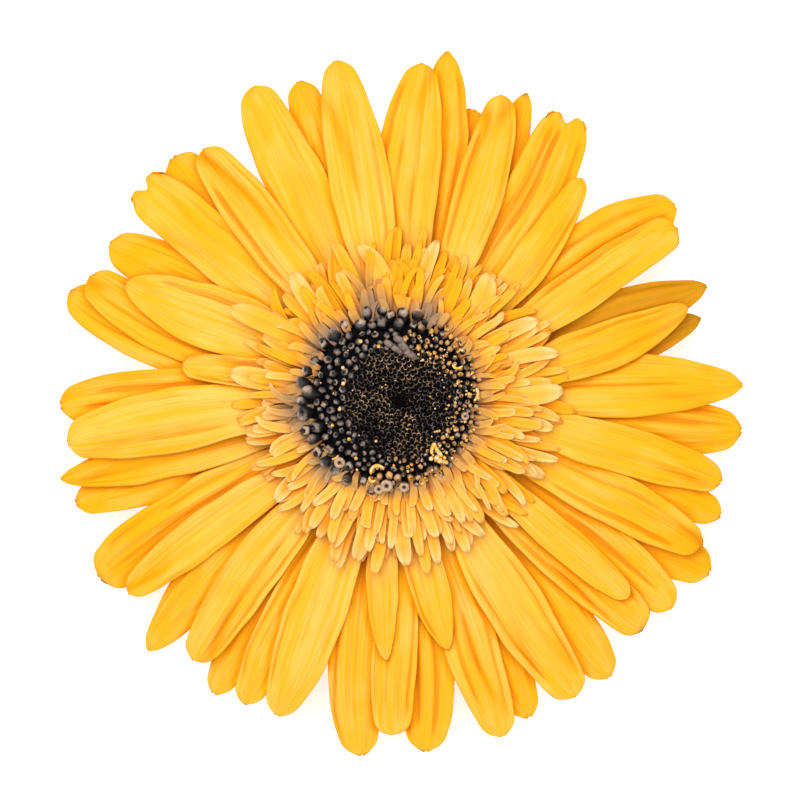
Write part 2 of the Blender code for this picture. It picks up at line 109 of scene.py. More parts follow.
# A long petal: azimuth at its root, middle and tip, reach and width, level, kind of tip, tone from -1 dark
# orange, painted shade on petals that lie in the shadow of others, to 1 bright, partly each petal's own tone,
# how browned its tip is from 0 to 1, and how much it is ribbed
Petal = collections.namedtuple("Petal", "root middle tip_turn reach width level tip tone worn ribs")
PETAL_ROWS = (
    (4.7, 4.0, 2.8, 49.1, 9.2, 3, "point", 0.0, 0.5, 0.9),
    (14.0, 14.4, 15.6, 44.8, 7.2, 0, "point", -1.2, 0.8, 0.6),
    (13.5, 15.4, 18.4, 43.5, 7.0, 3, "point", -0.4, 0.5, 0.6),
    (21.0, 21.0, 20.8, 47.0, 7.9, 1, "point", -0.9, 0.7, 0.8),
    (30.0, 32.2, 32.4, 46.8, 6.5, 4, "blunt", 0.1, 0.5, 0.5),
    (40.0, 39.2, 35.3, 48.4, 8.3, 3, "round", 0.1, 0.3, 0.5),
    (45.0, 47.6, 51.0, 41.2, 5.7, 5, "narrow", 0.1, 0.2, 0.2),
    (56.0, 57.0, 59.6, 47.9, 8.6, 2, "notch", 0.0, 0.6, 1.0),
    (66.0, 66.8, 67.7, 47.9, 7.0, 1, "point", -0.4, 1.0, 0.7),
    (67.5, 69.4, 71.5, 46.3, 7.0, 4, "round", 0.3, 0.2, 0.4),
    (75.0, 75.6, 76.2, 43.2, 6.5, 0, "blunt", 0.2, 0.1, 0.5),
    (81.0, 81.0, 82.3, 50.8, 8.0, 1, "point", 0.1, 0.9, 0.8),
    (88.0, 88.0, 85.8, 48.5, 9.6, 3, "narrow", 0.2, 0.1, 0.8),
    (100.7, 100.3, 100.6, 49.7, 9.0, 3, "narrow", 0.5, 0.2, 0.5),
    (108.0, 107.6, 107.5, 48.2, 6.8, 1, "round", 0.0, 0.2, 0.8),
    (115.3, 115.4, 115.0, 49.9, 8.6, 1, "round", 0.2, 0.1, 0.5),
    (129.5, 128.2, 128.0, 45.9, 7.6, 4, "round", 0.5, 0.2, 0.3),
    (133.5, 133.0, 133.0, 47.8, 7.6, 1, "blunt", -0.2, 0.5, 0.8),
    (139.5, 139.8, 140.0, 48.8, 8.4, 3, "notch", 0.1, 0.6, 0.5),
    (149.0, 150.0, 151.6, 47.4, 8.4, 0, "round", -0.3, 0.2, 0.5),
    (152.0, 156.0, 156.6, 42.8, 9.4, 4, "point", 0.7, 0.1, 0.3),
    (164.0, 162.4, 158.2, 48.0, 7.4, 2, "blunt", -0.1, 0.5, 0.7),
    (168.6, 165.6, 161.6, 50.0, 8.2, 1, "round", 0.0, 0.5, 0.7),
    (168.0, 169.4, 170.8, 31.5, 4.2, 5, "round", 0.9, 0.0, 0.3),
    (177.0, 178.4, 180.6, 48.6, 7.8, 2, "round", 0.0, 0.4, 1.0),
    (182.0, 184.7, 187.0, 47.9, 9.2, 3, "round", 0.8, 0.1, 0.6),
    (192.0, 193.0, 192.8, 49.9, 6.8, 1, "point", -0.1, 0.4, 0.8),
    (197.5, 197.2, 197.4, 48.7, 7.0, 0, "round", -0.1, 0.5, 0.6),
    (207.5, 208.4, 210.4, 49.9, 8.8, 0, "blunt", -0.3, 0.6, 0.7),
    (213.0, 213.8, 215.1, 47.6, 6.2, 2, "round", 0.4, 0.2, 1.0),
    (220.0, 222.2, 224.6, 50.8, 8.7, 1, "point", 0.2, 0.3, 0.7),
    (227.0, 229.2, 231.6, 47.3, 7.5, 3, "round", 0.5, 0.1, 0.5),
    (235.5, 236.4, 237.4, 49.6, 6.8, 0, "round", 0.5, 0.2, 0.7),
    (242.0, 242.2, 242.6, 48.7, 6.9, 1, "round", 0.6, 0.2, 0.7),
    (246.0, 248.2, 248.6, 48.2, 8.9, 2, "narrow", 0.9, 0.1, 0.5),
    (257.5, 260.0, 263.8, 50.9, 8.3, 1, "round", 0.5, 0.2, 1.0),
    (262.5, 264.6, 267.0, 37.0, 4.6, 4, "point", 0.8, 0.1, 0.6),
    (269.0, 268.8, 268.4, 47.7, 6.6, 2, "blunt", 0.7, 0.2, 0.5),
    (275.5, 275.6, 274.3, 50.2, 8.5, 1, "round", 0.4, 0.3, 0.8),
    (277.0, 279.0, 281.0, 36.0, 5.6, 4, "point", 0.8, 0.1, 0.5),
    (284.5, 286.2, 287.1, 50.1, 7.8, 3, "round", 0.6, 0.2, 0.7),
    (291.0, 291.6, 292.3, 48.8, 7.2, 0, "round", 0.0, 0.3, 0.6),
    (297.5, 299.4, 301.0, 49.1, 8.5, 3, "round", 0.8, 0.1, 0.4),
    (306.0, 307.4, 307.2, 49.6, 7.8, 0, "round", 0.1, 0.3, 0.5),
    (314.0, 316.6, 317.2, 47.6, 7.2, 2, "blunt", 0.2, 0.6, 0.7),
    (320.5, 319.6, 319.6, 43.0, 5.0, 4, "round", 0.4, 0.1, 0.4),
    (326.0, 324.6, 323.0, 48.9, 7.9, 1, "round", 0.2, 0.5, 0.6),
    (331.0, 330.6, 331.2, 50.7, 8.8, 0, "round", -0.2, 0.3, 0.6),
    (337.5, 335.6, 334.2, 47.8, 7.5, 4, "round", 0.0, 0.4, 0.5),
    (342.0, 341.4, 340.6, 48.7, 6.8, 1, "round", -0.2, 0.4, 0.6),
    (349.5, 347.8, 346.1, 47.4, 6.9, 4, "round", -0.1, 0.7, 0.4),
    (356.0, 354.8, 355.2, 49.0, 8.8, 1, "round", -0.4, 0.4, 1.0),
)
PETALS = [Petal(*row) for row in PETAL_ROWS]

# Folds that mark single petals, by the petal's number, besides the ribs that all have: across from -1 to 1,
# depth (below zero a ridge), spread, and the shares of the length where the fold starts and ends
PETAL_FOLDS = {
    1: (
        (0.35, -0.22, 0.12, 0.1, 0.95),
        (-0.35, -0.22, 0.12, 0.1, 0.95),
        (0.0, 0.2, 0.1, 0.1, 0.9),
    ),
    5: ((0.78, 0.25, 0.12, 0.3, 0.95), (0.98, -0.25, 0.12, 0.3, 0.95)),
    6: ((0.4, 0.2, 0.1, 0.4, 1.0), (-0.3, 0.2, 0.1, 0.5, 1.0)),
    8: ((0.45, 0.35, 0.12, 0.2, 1.0), (0.1, 0.3, 0.1, 0.4, 1.0), (-0.5, 0.2, 0.1, 0.3, 0.9)),
    10: ((0.75, 0.25, 0.14, 0.2, 0.9),),
    17: ((0.62, 0.3, 0.1, 0.25, 0.9), (0.85, -0.25, 0.1, 0.25, 0.9)),
    21: ((-0.66, 0.3, 0.1, 0.35, 0.9), (0.96, -0.2, 0.12, 0.3, 0.95)),
    25: ((-0.4, 0.3, 0.1, 0.2, 0.9), (0.2, 0.3, 0.1, 0.3, 0.95), (0.6, 0.25, 0.1, 0.3, 0.9)),
    30: ((0.3, -0.28, 0.12, 0.2, 1.0), (-0.3, -0.28, 0.12, 0.2, 1.0)),
    36: (
        (0.3, -0.25, 0.12, 0.2, 1.0),
        (-0.4, -0.2, 0.12, 0.2, 1.0),
        (0.0, 0.25, 0.1, 0.2, 0.95),
    ),
    39: ((-0.3, 0.25, 0.14, 0.3, 0.95), (0.35, 0.2, 0.1, 0.4, 1.0)),
    41: (
        (0.3, -0.3, 0.12, 0.45, 0.75),
        (-0.2, -0.3, 0.12, 0.45, 0.75),
        (0.05, 0.3, 0.1, 0.4, 0.8),
    ),
    43: ((-0.7, 0.25, 0.08, 0.3, 0.95),),
    45: ((-0.65, 0.25, 0.1, 0.3, 0.95), (-0.9, -0.2, 0.1, 0.3, 0.95)),
    47: ((0.1, 0.3, 0.12, 0.4, 0.95),),
    49: ((-0.62, 0.3, 0.1, 0.25, 0.95), (-0.88, -0.25, 0.12, 0.25, 0.95)),
    52: (
        (0.4, -0.25, 0.12, 0.2, 0.9),
        (-0.2, -0.25, 0.12, 0.2, 0.9),
        (0.1, 0.25, 0.1, 0.2, 0.9),
    ),
}

# Short florets, row by row from the outermost and lowest: how many, the radius where they root, how far they
# reach and how much that varies, their width, the height of their roots, their rise, and how much they curl
FloretRow = collections.namedtuple("FloretRow", "count root reach spread width height rise curl")
OUTER_FLORET_ROWS = (
    FloretRow(62, 12.6, 23.4, 2.0, 1.60, 14.8, 0.3, 0.2),
    FloretRow(70, 12.4, 21.8, 2.0, 1.45, 15.0, 0.4, 0.4),
)
INNER_FLORET_ROWS = (
    FloretRow(70, 12.1, 20.0, 2.2, 1.30, 15.3, 0.4, 0.7),
    FloretRow(66, 11.8, 18.0, 1.9, 1.20, 15.7, 0.4, 0.8),
    FloretRow(58, 11.5, 16.1, 1.4, 1.10, 16.1, 0.4, 0.7),
    FloretRow(50, 11.2, 14.5, 0.9, 1.00, 16.6, 0.3, 0.6),
)
FLORET_THICKNESS = 0.11 * MM
FLORET_CLEARANCE = 0.13 * MM
FLORET_MOST_LIFT = 1.0 * MM
FLORET_STEPS = 16
FLORET_SWAY = 0.07
FLORET_ROLL = 0.25

# Short florets that stand out: azimuth, reach, width, and how pale. Short ones grow in the inner ring
INNER_REACH = 20
BROAD_FLORETS = (
    (148, 27.5, 3.2, 0.3),
    (49, 22.4, 3.4, 0.5),
    (96, 23.2, 2.8, 0.5),
    (80, 23.6, 1.9, 0.9),
    (34, 23.0, 2.2, 1.0),
    (22, 24.0, 2.0, 1.0),
    (2, 23.2, 2.8, 0.7),
    (171, 24.5, 3.0, 0.6),
    (133, 24.0, 2.6, 0.7),
    (291, 17.6, 1.8, 1.0),
    (270, 23.4, 2.2, 0.9),
    (255, 23.8, 2.2, 0.9),
)

# The side on which the short florets lie neatly beside each other, and how far that goes round
NEAT_TURN = math.radians(266)
NEAT_SPREAD = math.radians(30)

# Where the disc has greyed the short florets beside it: azimuth, spread and reach
BRUISES = ((106, 8, 7.0), (140, 13, 3.0), (184, 16, 5.5), (222, 10, 3.0), (72, 8, 3.2))

# The disc: the side on which its open florets are largest and reach furthest
DISC_LEAN = math.radians(165)
DISC_EDGE = 12.7 * MM
DISC_EDGE_SHIFT = 1.4 * MM
BUDS_REACH = 8.5 * MM
BUD_COUNT = 500
OPEN_FROM = 7.9 * MM
SPOT_TRIES = 6000
SPOT_GAP = 0.52
MOUTHED_SHARE = 0.3
BULB_WIDTH = 0.56
LOOSE_GRAINS = 70
FINE_GRAINS = 30
TUFT_GRAINS = 16

# Turned forms, as (radius, height) pairs: the small ones in units of their own size
BUD_PROFILE = (
    (0.50, -1.6), (0.55, -0.3), (0.50, 0.10), (0.42, 0.20), (0.34, 0.05), (0.24, -0.45), (0.10, -0.6),
)
CLOSED_BULB_PROFILE = (
    (0.55, -1.3), (0.85, -0.6), (1.0, 0.0), (0.92, 0.4), (0.68, 0.72), (0.4, 0.82), (0.2, 0.7),
)
MOUTHED_BULB_PROFILE = (
    (0.55, -1.3), (0.85, -0.6), (1.0, 0.1), (0.92, 0.5), (0.68, 0.72), (0.46, 0.6), (0.34, 0.0),
)
CUSHION_PROFILE = (
    (10.6, 15.1), (11.6, 15.5), (12.0, 15.9), (11.2, 16.7),
    (9.2, 17.1), (7.0, 16.6), (3.0, 16.8), (1.2, 16.0),
)
RECEPTACLE_PROFILE = (
    (4.6, 0.0), (4.8, 0.15), (5.0, 1.4), (5.3, 2.7), (7.0, 3.2), (8.4, 3.7), (9.6, 4.3), (10.7, 5.1),
    (11.6, 5.8), (12.2, 6.7), (12.7, 7.6), (12.9, 8.6), (12.9, 13.4), (12.3, 14.2), (7.1, 14.55), (2.0, 14.7),
)
BRACT_THICKNESS = 0.3 * MM
BRACTS_IN_ROW = 24

# Single open florets that show pale rings: where they stand, and their size
RINGED_BULBS = (
    (-1.9, -11.9, 0.95), (-3.0, -12.4, 0.75), (0.6, -12.1, 0.8), (-8.6, -8.6, 0.85), (9.3, -2.0, 0.6),
)

# Long grey buds that have fallen over the closed ones: where they lie, their lean and their turn in radians
FALLEN_BUDS = (
    (-1.6, 8.3, 1.1, 2.5),
    (-0.6, 7.6, 1.2, 2.6),
    (0.5, 7.9, 1.1, 2.4),
    (1.3, 6.9, 1.2, 2.6),
    (-0.2, 8.9, 1.0, 2.7),
)

# Loose curled styles: where, the curl's radius, the thread's, and the azimuths where it starts and ends
CURLS = (
    (-3.2, -10.0, 0.95, 0.24, 20, 200),
    (-3.9, -10.9, 0.45, 0.22, 150, 330),
    (5.8, -7.0, 1.3, 0.26, 120, 200),
    (9.9, 1.2, 1.2, 0.2, -60, 40),
    (8.2, 5.6, 0.8, 0.18, 200, 330),
    (-9.5, -7.4, 0.7, 0.16, 250, 350),
)

# Cream grains that lie on the dark side of the disc: azimuth and radius
CREAM_DOTS = (
    (149, 9.5), (162, 8.5), (187, 8.7), (199, 10.2), (232, 10.2), (123, 10.3), (111, 8.5), (216, 9.0),
)

# The studio's lamps: name, place, size and power
LAMPS = (("soft_box", (-0.28, 0.36, 1.0), 0.9, 10.5), ("fill", (0.6, -0.3, 0.8), 0.9, 2.5))
ROOM_LIGHT = 0.57
FLOOR_COLOUR = (0.7, 0.7, 0.7, 1.0)
FLOOR_GLOW = 0.6
WHITE = (1.0, 1.0, 1.0, 1.0)
FLOOR_SIZE = 3.0

# The camera looks straight down, from this far above the height at which the view has this width
CAMERA_DISTANCE = 1.5
CAMERA_Y = 0.29 * MM
FOCUS_HEIGHT = 14 * MM
VIEW_WIDTH = 114.3 * MM

# Colours
GOLD = (0.93, 0.42, 0.004)
PALE_GOLD = (0.96, 0.53, 0.09)
ORANGE = (0.84, 0.27, 0.001)
SHADED_GOLD = (0.52, 0.23, 0.004)
BROWN = (0.24, 0.10, 0.02)
PEACH = (0.96, 0.50, 0.085)
PALE_PEACH = (0.98, 0.67, 0.28)
TAN = (0.27, 0.18, 0.12)
BURNT_ORANGE = (0.42, 0.13, 0.002)
# Painted shade in the deepest petal grooves
CREASE_SHADE_BROWN = (0.45, 0.16, 0.01)
BLACK_BROWN = (0.004, 0.003, 0.003)
BLUE_GREY = (0.045, 0.045, 0.062)
GREY_VIOLET = (0.085, 0.064, 0.068)
BEIGE = (0.52, 0.37, 0.26)
AMBER = (0.85, 0.40, 0.07)
CREAM = (0.90, 0.66, 0.33)
OLIVE = (0.17, 0.17, 0.05)
STRAW = (0.42, 0.36, 0.16)
PITH = (0.52, 0.42, 0.24)
BUD_GREY = (0.20, 0.15, 0.14)
BUD_TAN = (0.62, 0.40, 0.22)


# ---------------------------------------------------------------- shaders


class Value:
    """A number that varies over a surface. Python's operators on it add Math nodes."""

    def __init__(self, finish, socket):
        self.finish = finish
        self.socket = socket

    def math(self, operation, *values):
        return self.finish.node("ShaderNodeMath", {"operation": operation}, dict(enumerate(values)))

    def __add__(self, other):
        return self.math("ADD", self, other)

    def __sub__(self, other):
        return self.math("SUBTRACT", self, other)

    def __rsub__(self, other):
        return self.math("SUBTRACT", other, self)

    def __mul__(self, other):
        return self.math("MULTIPLY", self, other)

    def __abs__(self):
        return self.math("ABSOLUTE", self)

    __radd__ = __add__
    __rmul__ = __mul__

    def smooth(self, low, high):
        """0 up to low, 1 from high, and a soft step between them."""
        inputs = {"Value": self, "From Min": low, "From Max": high}
        return self.finish.node("ShaderNodeMapRange", {"interpolation_type": "SMOOTHSTEP"}, inputs)


class Finish:
    """A material being wired. Its node method makes every node."""

    def __init__(self, name, specular):
        self.material = bpy.data.materials.new(name)
        self.material.use_nodes = True
        self.tree = self.material.node_tree
        self.shader = self.tree.nodes["Principled BSDF"]
        self.shader.inputs["Specular IOR Level"].default_value = specular

    def node(self, kind, settings, inputs, output=0):
        made = self.tree.nodes.new(kind)
        for name, value in settings.items():
            setattr(made, name, value)
        for name, value in inputs.items():
            if isinstance(value, Value):
                self.tree.links.new(value.socket, made.inputs[name])
            elif isinstance(value, tuple) and len(value) == 3 and made.inputs[name].type == "RGBA":
                made.inputs[name].default_value = (*value, 1.0)
            else:
                made.inputs[name].default_value = value
        return Value(self, made.outputs[output])

    def attribute(self, name):
        return self.node("ShaderNodeAttribute", {"attribute_name": name}, {}, "Fac")

    def split(self, vector):
        first = self.node("ShaderNodeSeparateXYZ", {}, {0: vector})
        return [Value(self, output) for output in first.socket.node.outputs]

    def uv(self):
        """The piece's own map: how far along and how far across, both from 0 to 1."""
        return self.split(self.node("ShaderNodeTexCoord", {}, {}, "UV"))[:2]

    def place(self):
        return self.node("ShaderNodeTexCoord", {}, {}, "Object")

    def vector(self, x, y, z):
        return self.node("ShaderNodeCombineXYZ", {}, {0: x, 1: y, 2: z})

    def noise(self, where, scale, detail=2.0, roughness=0.5):
        inputs = {"Vector": where, "Scale": scale, "Detail": detail, "Roughness": roughness}
        return self.node("ShaderNodeTexNoise", {}, inputs)

    def mix(self, share, first, second):
        return self.node("ShaderNodeMix", {"data_type": "RGBA"}, {0: share, 6: first, 7: second}, 2)

    def wire(self, socket, value):
        self.tree.links.new(value.socket, self.shader.inputs[socket])

    def complete(self, colour, roughness, height, distance, strength=1.0):
        """The last steps of every finish: its colour, its roughness and how its grain stands out."""
        self.wire("Base Color", colour)
        self.wire("Roughness", roughness)
        inputs = {"Height": height, "Distance": distance, "Strength": strength}
        self.wire("Normal", self.node("ShaderNodeBump", {}, inputs))
        return self.material


def petal_finish():
    finish = Finish("long_petal_gold", 0.08)
    along, across = finish.uv()
    tone = finish.attribute("tone")
    groove = finish.attribute("groove")
    shade = finish.attribute("shade")
    worn = finish.attribute("worn")
    seed = finish.attribute("seed")
    fibre = finish.noise(finish.vector(along * 2.2, across * 30, seed * 90), 1.0, 3.0)
    streak = finish.noise(finish.vector(along * 1.6, across * 10, seed * 170), 1.0, 2.0)
    cloud = finish.noise(finish.vector(along * 4.0, across * 1.8, seed * 230), 1.0, 3.0)
    from_middle = abs(across * 2 - 1)

    pale = (1 - along.smooth(0.15, 0.65)) * 0.45 + tone.smooth(-0.3, 1.0) * 0.4
    pale = pale + cloud.smooth(0.4, 0.62) * 0.45
    # Painted shade: paleness fades where a higher petal stands close above
    pale = pale * (0.25 + streak.smooth(0.35, 0.55) * 0.75) * (1 - shade.smooth(0.0, 0.5))
    colour = finish.mix(pale, GOLD, PALE_GOLD)
    veined = fibre.smooth(0.5, 0.62) * 0.32 + streak.smooth(0.5, 0.62) * 0.3
    # Real veins, and painted shade: orange in the fold grooves, where a higher petal stands close above, and
    # on low-tone petals
    veins_and_painted_shade = groove * 0.75 + veined + shade * 0.9 + (1 - tone.smooth(-1.0, 0.1)) * 0.3
    colour = finish.mix(veins_and_painted_shade.smooth(0.08, 1.3) * 0.95, colour, ORANGE)
    # Painted shade: petals with a low tone, that lie in the shadow of others, go toward shaded gold
    colour = finish.mix((1 - tone.smooth(-1.1, -0.3)) * 0.85, colour, SHADED_GOLD)
    # Painted shade: brown in the deepest grooves of the folds
    colour = finish.mix(groove.smooth(0.6, 1.0) * fibre.smooth(0.35, 0.6) * 0.35, colour, CREASE_SHADE_BROWN)
    rim = from_middle.smooth(0.93, 1.0) * along.smooth(0.3, 0.7) + along.smooth(0.98, 1.0)
    colour = finish.mix(rim * 0.4, colour, ORANGE)
    edge = along.smooth(0.9, 1.0) * 0.6 + from_middle.smooth(0.88, 1.0) * along.smooth(0.5, 1.0) * 0.6
    browned = edge * worn * cloud.smooth(0.35, 0.6)
    colour = finish.mix(browned.smooth(0.05, 0.6) * 0.7, colour, BROWN)
    roughness = 0.5 + fibre * 0.14 + groove * 0.1
    return finish.complete(colour, roughness, fibre * 0.7 + streak * 0.6, 0.16 * MM, 0.8)


def floret_finish():
    finish = Finish("short_floret_peach", 0.1)
    along, across = finish.uv()
    seed = finish.attribute("seed")
    pale = finish.attribute("pale")
    smudge = finish.attribute("smudge")
    shade = finish.attribute("shade")
    fibre = finish.noise(finish.vector(along * 1.5, across * 8, seed * 40), 1.0, 2.0)
    from_middle = abs(across * 2 - 1)
    body = finish.mix(pale, GOLD, PEACH)
    out = finish.mix(along.smooth(0.15, 0.5), ORANGE, body)
    colour = finish.mix(along.smooth(0.05, 0.4), BURNT_ORANGE, out)
    # Pale tips and rims: partly the florets' own fading, partly painted highlight where curled tips and edges
    # face the light
    tip = along.smooth(0.72, 0.97) * (0.05 + pale * 0.85)
    rim = from_middle.smooth(0.5, 1.0) * along.smooth(0.3, 0.7) * pale * 0.45
    colour = finish.mix(tip + rim, colour, PALE_PEACH)
    # Painted shade: orange down each floret's channel and where other florets lie close above, with the real
    # fibres
    groove = (1 - from_middle.smooth(0.0, 0.4)) * 0.25 + fibre.smooth(0.5, 0.75) * 0.3 + shade * 0.9
    colour = finish.mix(groove, colour, ORANGE)
    colour = finish.mix(smudge, colour, TAN)
    roughness = 0.5 + fibre * 0.15
    return finish.complete(colour, roughness, fibre, 0.08 * MM, 0.5)


def bud_finish():
    finish = Finish("disc_bud_dark", 0.06)
    rim = finish.attribute("rim")
    ripe = finish.attribute("ripe")
    grain = finish.noise(finish.place(), 2600.0, 2.0)
    warm = finish.noise(finish.place(), 260.0, 1.0)
    light = finish.mix(warm.smooth(0.4, 0.6), BUD_GREY, BUD_TAN)
    # Painted light: the rim mark lightens each bud's lit top over the black-brown
    colour = finish.mix(rim * ripe * (0.4 + grain * 0.9), BLACK_BROWN, light)
    roughness = 0.6 - rim * 0.1 + grain * 0.1
    return finish.complete(colour, roughness, grain, 0.05 * MM, 0.5)


def open_floret_finish():
    finish = Finish("open_floret_grey", 0.4)
    rim = finish.attribute("rim")
    ripe = finish.attribute("ripe")
    gold = finish.attribute("gold")
    grain = finish.noise(finish.place(), 1500.0, 3.0)
    cloud = finish.noise(finish.place(), 420.0, 2.0)
    speck = finish.noise(finish.place(), 4200.0, 3.0, 0.7)
    dull = finish.mix(cloud.smooth(0.35, 0.55), BLUE_GREY, GREY_VIOLET)
    # Painted shade and highlight: black below each bulb's lit top, grey on it
    colour = finish.mix(rim.smooth(0.35, 1.0), BLACK_BROWN, dull)
    # Beige on the lit tops: painted highlight, stronger on ripe bulbs
    lit_and_ripe = rim.smooth(0.5, 1.0) * (0.35 + ripe * 0.8) * grain.smooth(0.25, 0.55)
    colour = finish.mix(lit_and_ripe, colour, BEIGE)
    colour = finish.mix(speck.smooth(0.5, 0.7) * 0.5, colour, BLACK_BROWN)
    # Painted light: the gold bulbs' own amber, shown only on their lit tops
    colour = finish.mix(rim.smooth(0.3, 0.8) * gold, colour, AMBER)
    roughness = 0.36 + grain * 0.25
    return finish.complete(colour, roughness, grain + speck * 0.5, 0.1 * MM, 0.8)


def pollen_finish():
    finish = Finish("pollen_cream", 0.4)
    grain = finish.noise(finish.place(), 1800.0, 2.0)
    roughness = 0.5 + grain * 0.2
    colour = finish.mix(grain.smooth(0.35, 0.65), CREAM, GOLD)
    return finish.complete(colour, roughness, grain, 0.05 * MM, 0.6)


def bract_finish():
    finish = Finish("bract_olive", 0.3)
    along, across = finish.uv()
    seed = finish.attribute("seed")
    fibre = finish.noise(finish.vector(along * 2, across * 14, seed * 30), 1.0, 3.0)
    from_middle = abs(across * 2 - 1)
    colour = finish.mix(fibre.smooth(0.35, 0.7), OLIVE, STRAW)
    colour = finish.mix(from_middle.smooth(0.6, 1.0) * 0.5, colour, STRAW)
    colour = finish.mix(along.smooth(0.75, 1.0) * 0.7, colour, BROWN)
    roughness = 0.62 + fibre * 0.2
    return finish.complete(colour, roughness, fibre, 0.12 * MM, 0.7)


def receptacle_finish():
    finish = Finish("receptacle_straw", 0.25)
    place = finish.place()
    x, y, height = finish.split(place)
    turn = x.math("ARCTAN2", x, y)
    rib = finish.noise(finish.vector(turn * 9, height * 120, 0.0), 1.0, 3.0)
    pith = finish.noise(place, 900.0, 4.0)
    colour = finish.mix(rib.smooth(0.35, 0.7), STRAW, OLIVE)
    cut = 1 - height.smooth(0.05 * MM, 0.4 * MM)
    colour = finish.mix(cut * pith.smooth(0.3, 0.7), colour, PITH)
    roughness = 0.7 + pith * 0.2
    return finish.complete(colour, roughness, rib + pith * 0.6, 0.2 * MM, 0.7)


def floor_finish():
    finish = Finish("pale_floor", 0.1)
    finish.shader.inputs["Base Color"].default_value = FLOOR_COLOUR
    finish.shader.inputs["Emission Color"].default_value = WHITE
    finish.shader.inputs["Emission Strength"].default_value = FLOOR_GLOW
    return finish.material


# ---------------------------------------------------------------- shared modelling


def hump(value, spread):
    """1 where the value is zero, and softly down to 0 on both sides."""
    return np.exp(-((value / spread) ** 2))


def rising(value, start, end):
    """0 up to start, 1 from end, and straight between them."""
    return np.clip((value - start) / (end - start), 0.0, 1.0)


def eased(share):
    """0 to 1 with a soft start and a soft end."""
    share = np.clip(share, 0.0, 1.0)
    return share * share * (3 - 2 * share)


def coordinates(mesh):
    points = np.empty(len(mesh.vertices) * 3, np.float32)
    mesh.vertices.foreach_get("co", points)
    return points.reshape(-1, 3).astype(float)


def set_coordinates(mesh, points):
    mesh.vertices.foreach_set("co", np.ascontiguousarray(points, np.float32).ravel())
    mesh.update()


def mark(piece, **marks):
    """Gives each point of a piece the numbers that its finish reads."""
    mesh = piece.data
    for name, values in marks.items():
        layer = mesh.attributes.get(name) or mesh.attributes.new(name, "FLOAT", "POINT")
        values = np.broadcast_to(values, len(mesh.vertices))
        layer.data.foreach_set("value", np.ascontiguousarray(values, np.float32))


def new_grid(name, along_steps, across_steps):
    """A flat sheet with its own map, to be shaped: 0 to 1 along and -1 to 1 across."""
    bpy.ops.mesh.primitive_grid_add(x_subdivisions=along_steps, y_subdivisions=across_steps, size=1.0)
    piece = bpy.context.object
    piece.name = piece.data.name = name
    flat = coordinates(piece.data)
    return piece, flat[:, 0] + 0.5, flat[:, 1] * 2


def turned(name, profile, sides, unit=1.0):
    """A round closed form: a disc extruded and scaled through (radius, height) pairs, up to a pole."""
    (radius, height), *steps = [(radius * unit, height * unit) for radius, height in profile]
    start = (0, 0, height)
    bpy.ops.mesh.primitive_circle_add(vertices=sides, radius=radius, fill_type="NGON", location=start)
    piece = bpy.context.object
    piece.name = piece.data.name = name
    bpy.ops.object.mode_set(mode="EDIT")
    bpy.ops.mesh.select_all(action="SELECT")
    for next_radius, next_height in steps:
        rise = (0, 0, next_height - height)
        bpy.ops.mesh.extrude_region_move(TRANSFORM_OT_translate={"value": rise})
        grow = next_radius / radius
        bpy.ops.transform.resize(value=(grow, grow, 1))
        radius, height = next_radius, next_height
    bpy.ops.mesh.merge(type="CENTER")
    bpy.ops.object.mode_set(mode="OBJECT")
    facing_out(piece)
    bpy.ops.object.transform_apply(location=True, rotation=True, scale=True)
    return piece


def facing_out(piece, merge=None):
    """Turns a closed piece's faces outward, once points that are closer than merge have become one."""
    bpy.context.view_layer.objects.active = piece
    bpy.ops.object.mode_set(mode="EDIT")
    bpy.ops.mesh.select_all(action="SELECT")
    if merge:
        bpy.ops.mesh.remove_doubles(threshold=merge)
    bpy.ops.mesh.normals_make_consistent(inside=False)
    bpy.ops.object.mode_set(mode="OBJECT")


def copy_of(pattern, points):
    """A copy of the pattern with its own mesh and these points."""
    made = pattern.copy()
    made.data = pattern.data.copy()
    bpy.context.collection.objects.link(made)
    set_coordinates(made.data, points)
    return made


def joined(name, pieces):
    bpy.ops.object.select_all(action="DESELECT")
    for piece in pieces:
        piece.select_set(True)
    bpy.context.view_layer.objects.active = pieces[0]
    bpy.ops.object.join()
    pieces[0].name = pieces[0].data.name = name
    return pieces[0]


def thickened(piece, thickness, side=-1):
    """Gives a sheet its thickness, on one side of the surface that was shaped."""
    wall = piece.modifiers.new("thickness", "SOLIDIFY")
    wall.thickness = thickness
    wall.offset = side
    bpy.context.view_layer.objects.active = piece
    bpy.ops.object.modifier_apply(modifier=wall.name)


def done(piece, material, slot, *nodes):
    """The last steps of every piece: its shading, material and body, and the solids that it stands for."""
    piece.data.shade_smooth()
    piece.data.materials.clear()
    piece.data.materials.append(material)
    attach(piece, "root")
    if nodes:
        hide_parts(*nodes)


def faces_of(node):
    """The faces of a CAD node, ready for lines to be dropped on them."""
    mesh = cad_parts[node].data
    corners = [vertex.co.copy() for vertex in mesh.vertices]
    return BVHTree.FromPolygons(corners, [tuple(face.vertices) for face in mesh.polygons])


class Surface:
    """The upper side of a CAD node."""

    def __init__(self, node):
        self.tree = faces_of(node)
        self.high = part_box(node)[1][2] + MM

    def height(self, x, y):
        hit = self.tree.ray_cast(Vector((x, y, self.high)), Vector((0, 0, -1)))[0]
        if hit is None:
            hit = self.tree.find_nearest(Vector((x, y, self.high)))[0]
        return hit.z


